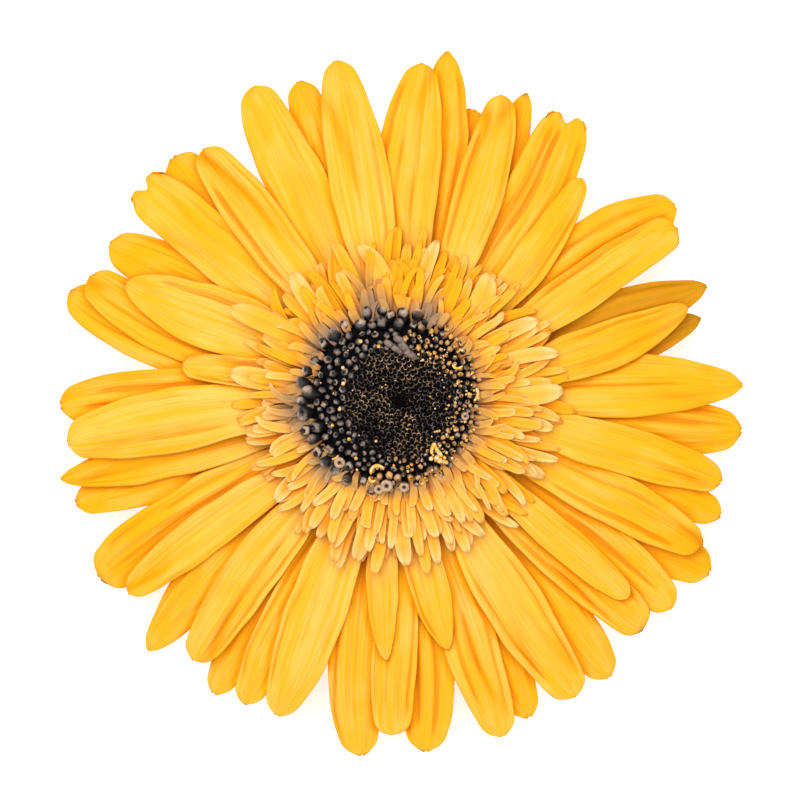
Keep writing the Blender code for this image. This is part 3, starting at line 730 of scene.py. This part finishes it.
class HeightField:
    """The top of everything laid so far, as the highest point in each cell of a grid seen from above."""

    def __init__(self):
        self.cells = 2 * math.ceil(LAY_HALF_SIZE / LAY_CELL)
        self.heights = np.zeros((self.cells, self.cells))

    def cell_of(self, places):
        return np.clip((places + LAY_HALF_SIZE) / LAY_CELL, 1, self.cells - 2).astype(int)

    def lay(self, x, y, z):
        column, row = self.cell_of(x), self.cell_of(y)
        for across in (-1, 0, 1):
            for along in (-1, 0, 1):
                np.maximum.at(self.heights, (column + across, row + along), z)

    def below(self, x, y):
        return self.heights[self.cell_of(x), self.cell_of(y)]


def neighbours(values, axis):
    before = np.take(values, [0, *range(values.shape[axis] - 1)], axis)
    after = np.take(values, [*range(1, values.shape[axis]), -1], axis)
    return before, after


def blurred(values, along_passes, across_passes=0):
    """Evens out the values of a grid, along it and then across it."""
    for axis, passes in enumerate((along_passes, across_passes)):
        for _ in range(passes):
            before, after = neighbours(values, axis)
            values = 0.25 * before + 0.5 * values + 0.25 * after
    return values


def widened(values, steps):
    """Each value becomes the highest one around it."""
    for axis in (0, 1):
        for _ in range(steps):
            values = np.maximum(values, np.maximum(*neighbours(values, axis)))
    return values


# ---------------------------------------------------------------- long petals


def half_width(petal, along):
    shape = TIP_SHAPES[petal.tip]
    full = petal.width * MM / 2
    widening = np.sin(0.5 * math.pi * np.clip(along / PETAL_WIDEST, 0.0, 1.0)) ** PETAL_WIDENING
    taper = rising(along, shape.start, 1.0)
    narrowing = shape.end + (1 - shape.end) * (1 - taper**2) ** shape.power
    rounding = 1.0
    if shape.notch == 0:
        rounding = np.sqrt(1 - TIP_ROUNDNESS * rising(along, TIP_ROUNDING, 1.0) ** 2)
    return (PETAL_CLAW + (full - PETAL_CLAW) * widening) * narrowing * rounding


def petal_plan(petal, along, across, sway=0.0, tip_pull=0.0):
    """Where the point this far along and across the petal is, seen from above."""
    reach = petal.reach * MM - PETAL_ROOT_RADIUS
    whole_bend = petal.tip_turn - petal.root
    bulge = petal.middle - petal.root - PETAL_MIDDLE * whole_bend
    bulge /= PETAL_MIDDLE * (1 - PETAL_MIDDLE)

    def centre(share):
        turn = np.radians(petal.root + whole_bend * share + bulge * share * (1 - share))
        radius = PETAL_ROOT_RADIUS + reach * share
        return radius * np.cos(turn), radius * np.sin(turn)

    near_tip = rising(along, PETAL_NOTCH_START, 1.0)
    notch = TIP_SHAPES[petal.tip].notch
    lobed = notch * (hump(across, 0.3) + 1.1 * np.abs(across) ** 3.5)
    share = along - (lobed * near_tip + tip_pull) * near_tip
    step = 0.01
    ahead_x, ahead_y = centre(share + step)
    here_x, here_y = centre(share)
    length = np.hypot(ahead_x - here_x, ahead_y - here_y)
    side = half_width(petal, along) * across * (1 + sway)
    return here_x - side * (ahead_y - here_y) / length, here_y + side * (ahead_x - here_x) / length


def waves(random, along, most, count=3):
    """A slow wave along the petal, as a sum of sines that differ for each petal."""
    total = 0.0
    for order in range(1, count + 1):
        height = random.uniform(-1, 1) / order
        place = math.pi * order * along * WAVE_LENGTH
        total = total + height * np.sin(place + random.uniform(0, ANY_PHASE))
    return most * total


def stretch(along, start, end, fade_in=FADE_IN):
    """1 from start to end of the petal's length, and softly down to 0 at both."""
    return eased((along - start) / fade_in) * eased((end - along) / FADE_OUT)


def petal_folds(number, petal, random, along, across):
    """How far the folds and ribs lift the surface, in millimetres."""
    ribs = int(random.integers(3, 6))
    phase = random.uniform(-0.5, 0.5)
    drift = waves(random, along, 0.10)
    rib = np.abs(np.cos(0.5 * math.pi * ribs * (across * (1 - 0.1 * along) - drift) + phase)) ** 0.8
    strength = RIB_HEIGHT * petal.ribs * eased(along / 0.2) * (1 - 0.55 * eased((along - 0.8) / 0.2))
    lift = strength * (rib - RIB_LEVEL)
    for _ in range(int(random.integers(FEWEST_CREASES, MOST_CREASES + 1))):
        middle = random.uniform(-CREASE_REACH, CREASE_REACH)
        start, end = sorted(random.uniform(0.05, 1.05, 2))
        depth = random.uniform(0.05, 0.2) * (0.4 + 0.6 * petal.ribs)
        window = stretch(along, start, end, FADE_OUT)
        slant = random.uniform(-0.25, 0.25) * (along - 0.5)
        lift = lift - depth * window * hump(across - middle - drift - slant, random.uniform(0.05, 0.09))
    if random.uniform() < RIM_LINE_CHANCE:
        side = random.choice((-1, 1))
        window = stretch(along, random.uniform(0.1, 0.45), 0.97)
        lift = lift - 0.2 * window * hump(across - RIM_LINE_PLACE * side - drift, 0.07)
        lift = lift + 0.12 * window * hump(across - RIM_RIDGE_PLACE * side, 0.12)
    for middle, depth, spread, start, end in PETAL_FOLDS.get(number, ()):
        window = stretch(along, start, end)
        lift = lift - depth * window * hump(across - middle - 0.5 * drift, spread)
    return lift


def petal_shape(petal, random, along, across):
    """The slow shape that each petal has besides its ribs, in millimetres."""
    rooted = eased(along / 0.5)
    cup = random.uniform(-0.45, 0.35) * (across**2 - 0.4) * eased(along / 0.4)
    edges = 0.0
    for side in (-1, 1):
        near = np.clip(across * side, 0.0, 1.0) ** 4
        edges = edges + near * (random.uniform(-0.3, 0.25) + waves(random, along * 2.2, 0.22)) * rooted
    tip = random.uniform(-0.7, 0.6) * eased((along - 0.72) / 0.28) ** 2
    return cup + edges + waves(random, along, 0.15) * along + tip


def frame_heights(petal, node, along, across):
    """The frame's own heights under a petal's points, without its facets."""
    surface = Surface(node)
    coarse_along = np.linspace(0.01, 0.985, 25)
    coarse_across = np.linspace(-0.94, 0.94, 9)
    grid_along, grid_across = np.meshgrid(coarse_along, coarse_across, indexing="ij")
    x, y = petal_plan(petal, grid_along, grid_across)
    heights = np.array([surface.height(*spot) for spot in zip(x.ravel(), y.ravel())]).reshape(x.shape)
    fine = np.array([np.interp(along[:, 0], coarse_along, column) for column in heights.T])
    fine = np.array([np.interp(across[0], coarse_across, row) for row in fine.T])
    return blurred(fine, 30, 8)


def add_petals(field):
    """Lays every long petal over the ones below it."""
    laid = []
    material = petal_finish()
    for place in sorted(range(len(PETALS)), key=lambda index: PETALS[index].level):
        petal, number = PETALS[place], place + 1
        node = f"petal_{number:02d}"
        random = np.random.default_rng(number)
        piece, flat_along, flat_across = new_grid(f"long_{node}", GRID_ALONG, GRID_ACROSS)
        order = np.lexsort((flat_across.round(4), flat_along.round(4)))
        columns = int(np.sum(np.abs(flat_along - flat_along.min()) < 1e-4))
        along = flat_along[order].reshape(-1, columns)
        along = 1 - (1 - along) ** ROWS_TOWARD_TIP
        across = flat_across[order].reshape(-1, columns)

        spacing = math.pi * random.uniform(0.6, 1.6)
        lobes = LOBE_DEPTH * (1 + np.cos(spacing * across + random.uniform(0, ANY_PHASE)))
        lobes = lobes * (1 - eased((along - 0.95) / 0.03))
        sway = SIDE_SWAY * np.where(across > 0, waves(random, along * 2, 1.0), waves(random, along * 2, 1.0))
        x, y = petal_plan(petal, along, across, sway * eased(along / 0.3), lobes)
        narrow = np.clip(half_width(petal, along) / (FLAT_TIP_SHARE * petal.width * MM), 0.0, 1.0)
        folds = petal_folds(number, petal, random, along, across) * narrow
        lift = (folds + petal_shape(petal, random, along, across * narrow)) * MM
        solid = frame_heights(petal, node, along, across)
        level = solid.mean(axis=1, keepdims=True)
        z = level + (solid - level) * narrow + lift
        below = field.below(x, y)
        spare = np.where(below > 0, np.maximum(z - below - LAY_CLEARANCE, 0.0), 0.0)
        settling = eased((along - SETTLING_START) / SETTLING_SPAN)
        z = z - LAY_SETTLING * blurred(spare, 24, 16) * settling
        short = np.where(below > 0, np.maximum(below + LAY_CLEARANCE - z, 0.0), 0.0)
        rise = blurred(widened(short, 2), 4, 4)
        level = rise.max(axis=1, keepdims=True)
        z = z + level + (rise - level) * narrow
        field.lay(x.ravel(), y.ravel(), z.ravel())

        points = np.empty((along.size, 3))
        points[order] = np.stack([x, y, z], axis=-1).reshape(-1, 3)
        set_coordinates(piece.data, points)
        groove = np.empty(along.size)
        groove[order] = eased(-folds / DEEP_GROOVE).ravel()
        mark(piece, groove=groove, tone=petal.tone, worn=petal.worn, seed=random.uniform(0, 1))
        laid.append((piece, points, node))
    for piece, points, node in laid:
        # Painted shade: the shade mark tints a petal orange where a higher one stands close above
        mark(piece, shade=covered(field, points, 0.3 * MM, 0.8 * MM))
        thickened(piece, PETAL_THICKNESS)
        done(piece, material, "petal_gold", node)


def covered(field, points, low, span):
    """How much of what is round each point stands higher than it, from 0 to 1."""
    total = np.zeros(len(points))
    for radius in (0.4 * MM, 0.9 * MM):
        for turn in np.linspace(0, 2 * math.pi, 8, endpoint=False):
            x = points[:, 0] + radius * math.cos(turn)
            y = points[:, 1] + radius * math.sin(turn)
            total += eased((field.below(x, y) - points[:, 2] - low) / span)
    return total / 16


# ---------------------------------------------------------------- short florets


def strap_points(along, across, turn, root, reach, width, height, rise, curl, sway, roll, cup, fall):
    """A short floret: a channelled strap that rises from the disc, arches outward and lifts its tip."""
    end = eased((along - 0.8) / 0.2)
    bend = turn + sway * along**2
    radius = root + (reach - root) * (along - 0.12 * curl * end)
    z = height + rise * np.sin(math.pi * np.clip(along * 0.85, 0, 1)) - fall * along**1.5
    z = z + 0.5 * curl * MM * end
    body = 0.55 + 0.45 * eased(along / 0.5)
    tip = np.sqrt(1 - 0.9 * rising(along, 0.7, 1.0) ** 2.4)
    side = 0.5 * width * body * tip * across
    z = z + cup * width * (across**2) * (1 - 0.3 * end) + roll * side
    x = radius * np.cos(bend) - side * np.sin(bend)
    y = radius * np.sin(bend) + side * np.cos(bend)
    return np.stack([x, y, z], axis=-1)


def smudged(turn, points):
    """How tan a short floret is near the disc: somewhat all round, and most where its row is bruised."""
    turn = math.degrees(turn) % 360
    radius = np.hypot(points[:, 0], points[:, 1])
    shares = [(hump(turn - middle, spread), reach) for middle, spread, reach in BRUISES]
    bruise = min(1.0, sum(share for share, _ in shares))
    deepest = sum(share * reach for share, reach in shares)
    edge = DISC_EDGE + 0.6 * DISC_EDGE_SHIFT * math.cos(math.radians(turn) - DISC_LEAN)
    near = 1 - eased((radius - edge - 0.4 * MM) / ((1.8 + deepest) * MM))
    return (0.45 + 0.5 * bruise) * near


def draped(field, points, along, most):
    """Lifts a strap, station by station, until it lies on what is below it, and lays it on the field."""
    station = np.rint(along * FLORET_STEPS).astype(int)
    needed = np.zeros((FLORET_STEPS + 1, 1))
    below = field.below(points[:, 0], points[:, 1])
    np.maximum.at(needed[:, 0], station, below + FLORET_CLEARANCE - points[:, 2])
    lift = np.minimum(blurred(widened(needed, 1), 3)[:, 0], most)
    points[:, 2] += lift[station]
    field.lay(*points.T)
    return points


def paleness(turn):
    """How pale the short florets are on this side of the head."""
    return 0.42 + 0.3 * math.cos(turn - math.radians(262)) + 0.1 * math.cos(2 * turn - math.radians(60))


def add_floret_rows(name, rows, broad, seed, node, material, field):
    random = np.random.default_rng(seed)
    pattern, along, across = new_grid("short_floret", FLORET_STEPS, 4)
    florets = []

    def grow(row, turn, reach, width, pale):
        root = row.root * MM + 0.8 * DISC_EDGE_SHIFT * math.cos(turn - DISC_LEAN)
        neat = hump(turn - NEAT_TURN, NEAT_SPREAD)
        points = strap_points(
            along,
            across,
            turn,
            root,
            reach,
            width,
            (row.height + random.uniform(-0.15, 0.15)) * MM,
            row.rise * random.uniform(0.4, 1.5) * MM,
            row.curl * random.uniform(-0.6, 1.4),
            random.normal(0, FLORET_SWAY) * (1 - 0.6 * neat),
            random.uniform(-FLORET_ROLL, FLORET_ROLL) * (1 - 0.6 * neat),
            random.uniform(0.03, 0.2),
            random.uniform(0.6, 1.4) * MM,
        )
        points = draped(field, points, along, FLORET_MOST_LIFT)
        floret = copy_of(pattern, points)
        smudge = smudged(turn, points)
        mark(floret, seed=random.uniform(0, 1), pale=np.clip(pale, 0.0, 1.0), smudge=smudge)
        florets.append(floret)

    for level, row in enumerate(rows):
        for k in random.permutation(row.count):
            turn = 2 * math.pi * (k + 0.5 * (level % 2) + random.uniform(-0.36, 0.36)) / row.count
            reach = (row.reach + random.uniform(-1, 1) * row.spread) * MM
            width = row.width * random.uniform(0.65, 1.25) * MM
            # Curlier rows are paler: partly painted highlight on tips that turn up to the light, besides each
            # side's own paleness
            pale = paleness(turn) + row.curl * 0.3 - 0.2 + random.uniform(-0.35, 0.4)
            grow(row, turn, reach, width, pale)
    for turn, reach, width, pale in broad:
        grow(rows[0], math.radians(turn), reach * MM, width * MM, pale)
    bpy.data.objects.remove(pattern)
    piece = joined(name, florets)
    # Painted shade: the shade mark tints florets orange where others lie close above
    mark(piece, shade=covered(field, coordinates(piece.data), 0.1 * MM, 0.45 * MM))
    thickened(piece, FLORET_THICKNESS)
    done(piece, material, "short_floret_peach", node)


# ---------------------------------------------------------------- disc


def tilted(x, y, z, lean, turn, size):
    """Where a pattern that stands on the origin goes: its spot, its lean from the axis, and its size."""
    lay_over = Matrix.Rotation(lean, 4, Vector((-math.sin(turn), math.cos(turn), 0)))
    facing = Matrix.Rotation(turn, 4, "Z")
    return Matrix.Translation((x, y, z)) @ lay_over @ facing @ Matrix.Diagonal((*size, 1))


def transformed(points, matrix):
    matrix = np.array(matrix)
    return points @ matrix[:3, :3].T + matrix[:3, 3]


def add_disc_buds(field):
    """The closed buds, in the spirals of a daisy's disc, on a dome that dips in its middle."""
    random = np.random.default_rng(7)
    surface = Surface("disc_buds")
    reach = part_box("disc_buds")[1][0]
    pattern = turned("disc_bud", BUD_PROFILE, 7)
    bud = coordinates(pattern.data)
    angle = np.arctan2(bud[:, 1], bud[:, 0])
    rim = hump(bud[:, 2] - 0.2, 0.22)
    buds = []
    for k in range(BUD_COUNT):
        share = ((k + 0.5) / BUD_COUNT) ** 0.52
        out = BUDS_REACH * share
        turn = k * GOLDEN_ANGLE + random.normal(0, 0.1) * MM / out
        x, y = out * math.cos(turn), out * math.sin(turn)
        inside = min(1.0, (reach - 0.2 * MM) / out)
        z = surface.height(x * inside, y * inside) + random.uniform(-0.12, 0.16) * MM
        size = (0.62 + 0.12 * share) * random.uniform(0.92, 1.08) * MM
        tall = size * random.uniform(0.8, 1.3)
        made = copy_of(pattern, transformed(bud, tilted(x, y, z, 0.4 * share, turn, (size, size, tall))))
        # Painted light: each bud's top ring is lighter, most on one side as if lit from there; buds go darker
        # toward the disc's middle
        lit_side = angle + math.pi + random.normal(0, 0.9)
        lit_patch = random.uniform(0.6, 1.9) * np.clip(0.35 + 0.65 * np.cos(lit_side), 0, 1) ** 1.8
        mark(made, rim=rim * lit_patch, ripe=eased((out / MM - 0.8) / 1.5) * random.uniform(0.3, 1.15))
        field.lay(*coordinates(made.data).T)
        buds.append(made)
    bpy.data.objects.remove(pattern)
    piece = joined("closed_disc_buds", buds)
    done(piece, bud_finish(), "disc_dark")


def add_disc_ground():
    """The dark cushion between the buds and florets of the disc."""
    piece = turned("disc_cushion", CUSHION_PROFILE, 48, MM)
    random = np.random.default_rng(3)
    points = coordinates(piece.data)
    points[:, 2] += random.uniform(-0.15, 0.15, len(points)) * MM
    outward = np.hypot(points[:, 0], points[:, 1]) / DISC_EDGE
    points[:, 0] += DISC_EDGE_SHIFT * math.cos(DISC_LEAN) * outward
    points[:, 1] += DISC_EDGE_SHIFT * math.sin(DISC_LEAN) * outward
    set_coordinates(piece.data, points)
    mark(piece, rim=0.0, ripe=0.0)
    done(piece, bpy.data.materials["disc_bud_dark"], "disc_dark", "disc_buds")


def disc_edge(turn):
    return DISC_EDGE + DISC_EDGE_SHIFT * math.cos(turn - DISC_LEAN)


def floret_spots(random):
    """Where the open florets stand, each with its room: large ones on one side, small ones on the other."""
    spots = []
    for _ in range(SPOT_TRIES):
        turn = random.uniform(0, 2 * math.pi)
        edge = disc_edge(turn)
        out = math.sqrt(random.uniform(OPEN_FROM**2, edge**2))
        big = eased(0.5 + 0.85 * math.cos(turn - DISC_LEAN))
        rank = eased((out - edge + 3.0 * MM) / (1.6 * MM))
        room = (0.64 + 0.26 * big + rank * (0.2 + 0.5 * big)) * random.uniform(0.75, 1.2) * MM
        x, y = out * math.cos(turn), out * math.sin(turn)
        if all(math.hypot(x - other[0], y - other[1]) > SPOT_GAP * (room + other[2]) for other in spots):
            spots.append((x, y, room, turn, out, big, rank))
    return spots


def add_open_florets(field):
    """The open florets round the buds, each a lobed bulb, closed or with a dark mouth."""
    random = np.random.default_rng(11)
    surface = Surface("open_disc_florets")
    closed = turned("closed_bulb", CLOSED_BULB_PROFILE, 10)
    mouthed = turned("mouthed_bulb", MOUTHED_BULB_PROFILE, 10)
    florets = []

    def plant(pattern, bulb, matrix, **marks):
        made = copy_of(pattern, transformed(bulb, matrix))
        mark(made, **marks)
        florets.append(made)
        return made

    # Painted light: marks for the bulbs' lit tops and lit lips; the rest of each bulb, and each mouth, stays
    # black as painted shade
    def lit_top(bulb):
        return eased((bulb[:, 2] + 0.3) / 0.9)

    def lit_lip(bulb):
        return eased((np.hypot(bulb[:, 0], bulb[:, 1]) - 0.36) / 0.12)

    for x, y, room, turn, out, big, rank in floret_spots(random):
        pattern = mouthed if random.uniform() < MOUTHED_SHARE else closed
        bulb = coordinates(pattern.data)
        angle = np.arctan2(bulb[:, 1], bulb[:, 0])
        top, lip = lit_top(bulb), lit_lip(bulb)
        inside = min(1.0, 12.6 * MM / out)
        drop = 0.5 * rank + random.uniform(0.0, 0.6)
        z = surface.height(x * inside, y * inside) - drop * MM
        wide = BULB_WIDTH * room
        tall = wide * random.uniform(1.2, 1.9)
        lobed = 1 + 0.14 * np.cos(5 * angle + random.uniform(0, ANY_PHASE))
        lobed = lobed + 0.12 * np.cos(2 * angle + random.uniform(0, ANY_PHASE))
        bulb *= np.stack([lobed, lobed, np.ones_like(lobed)], axis=-1)
        lean = 0.25 + 0.6 * rank + random.uniform(-0.2, 0.2)
        lit = top * (0.75 + 0.25 * np.cos(angle + random.uniform(0, ANY_PHASE)))
        if pattern is mouthed:
            lit = lit * lip
        ripe = (0.3 + 0.5 * (1 - big)) * random.uniform(0.0, 1.7)
        ripe = ripe + 0.9 * eased((rank - 0.7) / 0.3) * random.uniform(0, 1)
        gold = (random.uniform() > 0.25 + 0.9 * big) * random.uniform(0.2, 0.9)
        matrix = tilted(x, y, z, lean, turn, (wide, wide, tall))
        made = plant(pattern, bulb, matrix, rim=lit, ripe=min(1.0, ripe), gold=gold)
        field.lay(*coordinates(made.data).T)
    for x, y, size in RINGED_BULBS:
        bulb = coordinates(mouthed.data)
        matrix = tilted(x * MM, y * MM, field.below(x * MM, y * MM), 0.2, 4.4, (size * MM,) * 3)
        plant(mouthed, bulb, matrix, rim=lit_top(bulb) * lit_lip(bulb), ripe=0.95, gold=0.15)
    for x, y, lean, turn in FALLEN_BUDS:
        size = random.uniform(0.42, 0.55) * MM
        z = surface.height(x * MM * 1.1, y * MM * 1.1) + 0.1 * MM
        matrix = tilted(x * MM, y * MM, z, lean, turn, (size, size, 1.9 * size))
        made = plant(closed, coordinates(closed.data), matrix, rim=1.0, ripe=0.12, gold=0.0)
        field.lay(*coordinates(made.data).T)
    for pattern in (closed, mouthed):
        bpy.data.objects.remove(pattern)
    piece = joined("open_disc_bulbs", florets)
    done(piece, open_floret_finish(), "open_disc_grey", "open_disc_florets")


def add_pollen(field):
    """Cream grains on the disc: single ones, and a tuft."""
    random = np.random.default_rng(19)
    bpy.ops.mesh.primitive_ico_sphere_add(subdivisions=1, radius=1.0)
    pattern = bpy.context.object
    ball = coordinates(pattern.data)
    grains = []

    def drop(x, y, size):
        z = field.below(x, y) + 0.3 * size
        place = tilted(x, y, z, 0.0, 0.0, (size, size, 0.8 * size))
        grains.append(copy_of(pattern, transformed(ball, place)))
        field.lay(x, y, z)

    def drop_round(turn, out, smallest, largest):
        size = random.uniform(smallest, largest) * MM
        drop(out * math.cos(turn) * MM, out * math.sin(turn) * MM, size)

    for turn, out in CREAM_DOTS:
        drop_round(math.radians(turn), out, 0.26, 0.34)
    for _ in range(LOOSE_GRAINS):
        drop_round(random.normal(math.radians(-5), 0.75), random.uniform(6.5, 11.6), 0.12, 0.24)
    for _ in range(FINE_GRAINS):
        drop_round(random.uniform(0, 2 * math.pi), random.uniform(3.0, 12.0), 0.08, 0.16)
    for share in np.linspace(0, 1, 9):
        drop((4.8 + share) * MM, (-6.1 - 1.5 * share) * MM, random.uniform(0.3, 0.42) * MM)
    for _ in range(TUFT_GRAINS):
        x, y = random.uniform(4.3, 6.6) * MM, random.uniform(-8.7, -7.8) * MM
        drop(x, y, random.uniform(0.26, 0.4) * MM)
    bpy.data.objects.remove(pattern)
    piece = joined("pollen_grains", grains)
    done(piece, pollen_finish(), "short_floret_peach")

    add_curls(field, bpy.data.materials["pollen_cream"])


def add_curls(field, material):
    """Loose styles on the disc: tapering threads that curl."""
    curls = []
    for x, y, size, wall, start, end in CURLS:
        piece, along, across = new_grid("curled_style", 18, 8)
        turn = np.radians(start + (end - start) * along)
        round_it = math.pi * across
        thick = wall * MM * (0.35 + 0.65 * np.sin(math.pi * np.clip(along, 0.02, 0.98)) ** 0.4)
        thick = thick * np.where((along < 0.01) | (along > 0.99), 0.0, 1.0)
        out = size * MM + thick * np.cos(round_it)
        points = np.stack([x * MM + out * np.cos(turn), y * MM + out * np.sin(turn)], axis=-1)
        base = field.below(points[:, 0], points[:, 1]).max() - 0.15 * MM
        height = base + thick * np.sin(round_it) + 0.3 * MM * along
        set_coordinates(piece.data, np.column_stack([points, height]))
        facing_out(piece, 0.001 * MM)
        curls.append(piece)
    done(joined("curled_styles", curls), material, "short_floret_peach")


# ---------------------------------------------------------------- under the head


def add_bracts(node, name, count, first_turn, material):
    """A row of pointed scales that follow the frame's row, each a little cupped."""
    random = np.random.default_rng(count + len(name))
    low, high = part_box(node)
    tree = faces_of(node)
    heights = np.linspace(low[2] + 0.05 * MM, high[2] - 0.02 * MM, 12)
    direction = Vector((math.cos(first_turn), math.sin(first_turn), 0))
    radii = []
    for height in heights:
        hit = tree.ray_cast(direction * 30 * MM + Vector((0, 0, height)), -direction)[0]
        hit = hit or tree.find_nearest(direction * radii[-1] + Vector((0, 0, height)))[0]
        radii.append(math.hypot(hit.x, hit.y))
    pattern, along, across = new_grid("bract", 14, 4)
    pitch = 2 * math.pi / count
    bracts = []
    for k in range(count):
        turn = first_turn + pitch * (k + random.uniform(-0.12, 0.12))
        reach = random.uniform(0.88, 1.0)
        where = np.interp(along * reach, np.linspace(0, 1, len(radii)), radii)
        z = np.interp(along * reach, np.linspace(0, 1, len(radii)), heights)
        full = 0.62 * pitch * where[np.argmax(along)] * 0.8
        side = full * across * (1 - 0.97 * np.clip((along - 0.25) / 0.75, 0, 1) ** 1.6)
        out = where + (0.25 * (1 - across**2) + 0.18 * (k % 2) + random.uniform(0, 0.15)) * MM
        out = out + random.uniform(0.0, 0.8) * MM * eased((along - 0.6) / 0.4)
        x = out * np.cos(turn) - side * np.sin(turn)
        y = out * np.sin(turn) + side * np.cos(turn)
        made = copy_of(pattern, np.stack([x, y, z], axis=-1))
        mark(made, seed=random.uniform(0, 1))
        bracts.append(made)
    bpy.data.objects.remove(pattern)
    piece = joined(name, bracts)
    thickened(piece, BRACT_THICKNESS, 1)
    facing_out(piece)
    done(piece, material, "bract_olive", node)


def add_receptacle():
    piece = turned("receptacle_cup", RECEPTACLE_PROFILE, 72, MM)
    points = coordinates(piece.data)
    turn = np.arctan2(points[:, 1], points[:, 0])
    ribbed = 1 + 0.012 * np.cos(turn * 17) * (points[:, 2] > 0.1 * MM) * (points[:, 2] < 12 * MM)
    points[:, :2] *= ribbed[:, None]
    set_coordinates(piece.data, points)
    done(piece, receptacle_finish(), "receptacle_straw", "receptacle")


# ---------------------------------------------------------------- studio


def add_studio():
    bpy.ops.mesh.primitive_plane_add(size=FLOOR_SIZE, location=(0, 0, -0.05 * MM))
    floor = bpy.context.object
    floor.name = "floor"
    floor.data.materials.append(floor_finish())

    world = bpy.data.worlds.new("soft_room")
    world.use_nodes = True
    world.node_tree.nodes["Background"].inputs["Color"].default_value = WHITE
    world.node_tree.nodes["Background"].inputs["Strength"].default_value = ROOM_LIGHT
    bpy.context.scene.world = world

    for name, spot, size, power in LAMPS:
        bpy.ops.object.light_add(type="AREA", location=spot)
        lamp = bpy.context.object
        lamp.name = name
        lamp.data.size = size
        lamp.data.energy = power
        lamp.rotation_euler = (-Vector(spot)).to_track_quat("-Z", "Y").to_euler()

    bpy.ops.object.camera_add(location=(0, CAMERA_Y, CAMERA_DISTANCE + FOCUS_HEIGHT))
    camera = bpy.context.object
    camera.data.lens = camera.data.sensor_width * CAMERA_DISTANCE / VIEW_WIDTH
    camera.data.clip_start = 0.01
    bpy.context.scene.camera = camera
    bpy.context.scene.view_settings.view_transform = "Standard"


bpy.ops.object.select_all(action="DESELECT")
laid_field = HeightField()
add_petals(laid_field)
floret_material = floret_finish()
inner_broad = [floret for floret in BROAD_FLORETS if floret[1] < INNER_REACH]
outer_broad = [floret for floret in BROAD_FLORETS if floret[1] >= INNER_REACH]
for place, rows, broad, seed in (
    ("outer", OUTER_FLORET_ROWS, outer_broad, 21),
    ("inner", INNER_FLORET_ROWS, inner_broad, 22),
):
    node = f"short_floret_ring_{place}"
    add_floret_rows(f"short_florets_{place}", rows, broad, seed, node, floret_material, laid_field)
disc_field = HeightField()
add_disc_buds(disc_field)
add_disc_ground()
add_open_florets(disc_field)
add_pollen(disc_field)
bract_material = bract_finish()
half_step = math.pi / BRACTS_IN_ROW
for place, first_turn in (("outer", half_step), ("middle", 0.0), ("inner", half_step)):
    add_bracts(f"bract_row_{place}", f"bracts_{place}", BRACTS_IN_ROW, first_turn, bract_material)
add_receptacle()
add_studio()
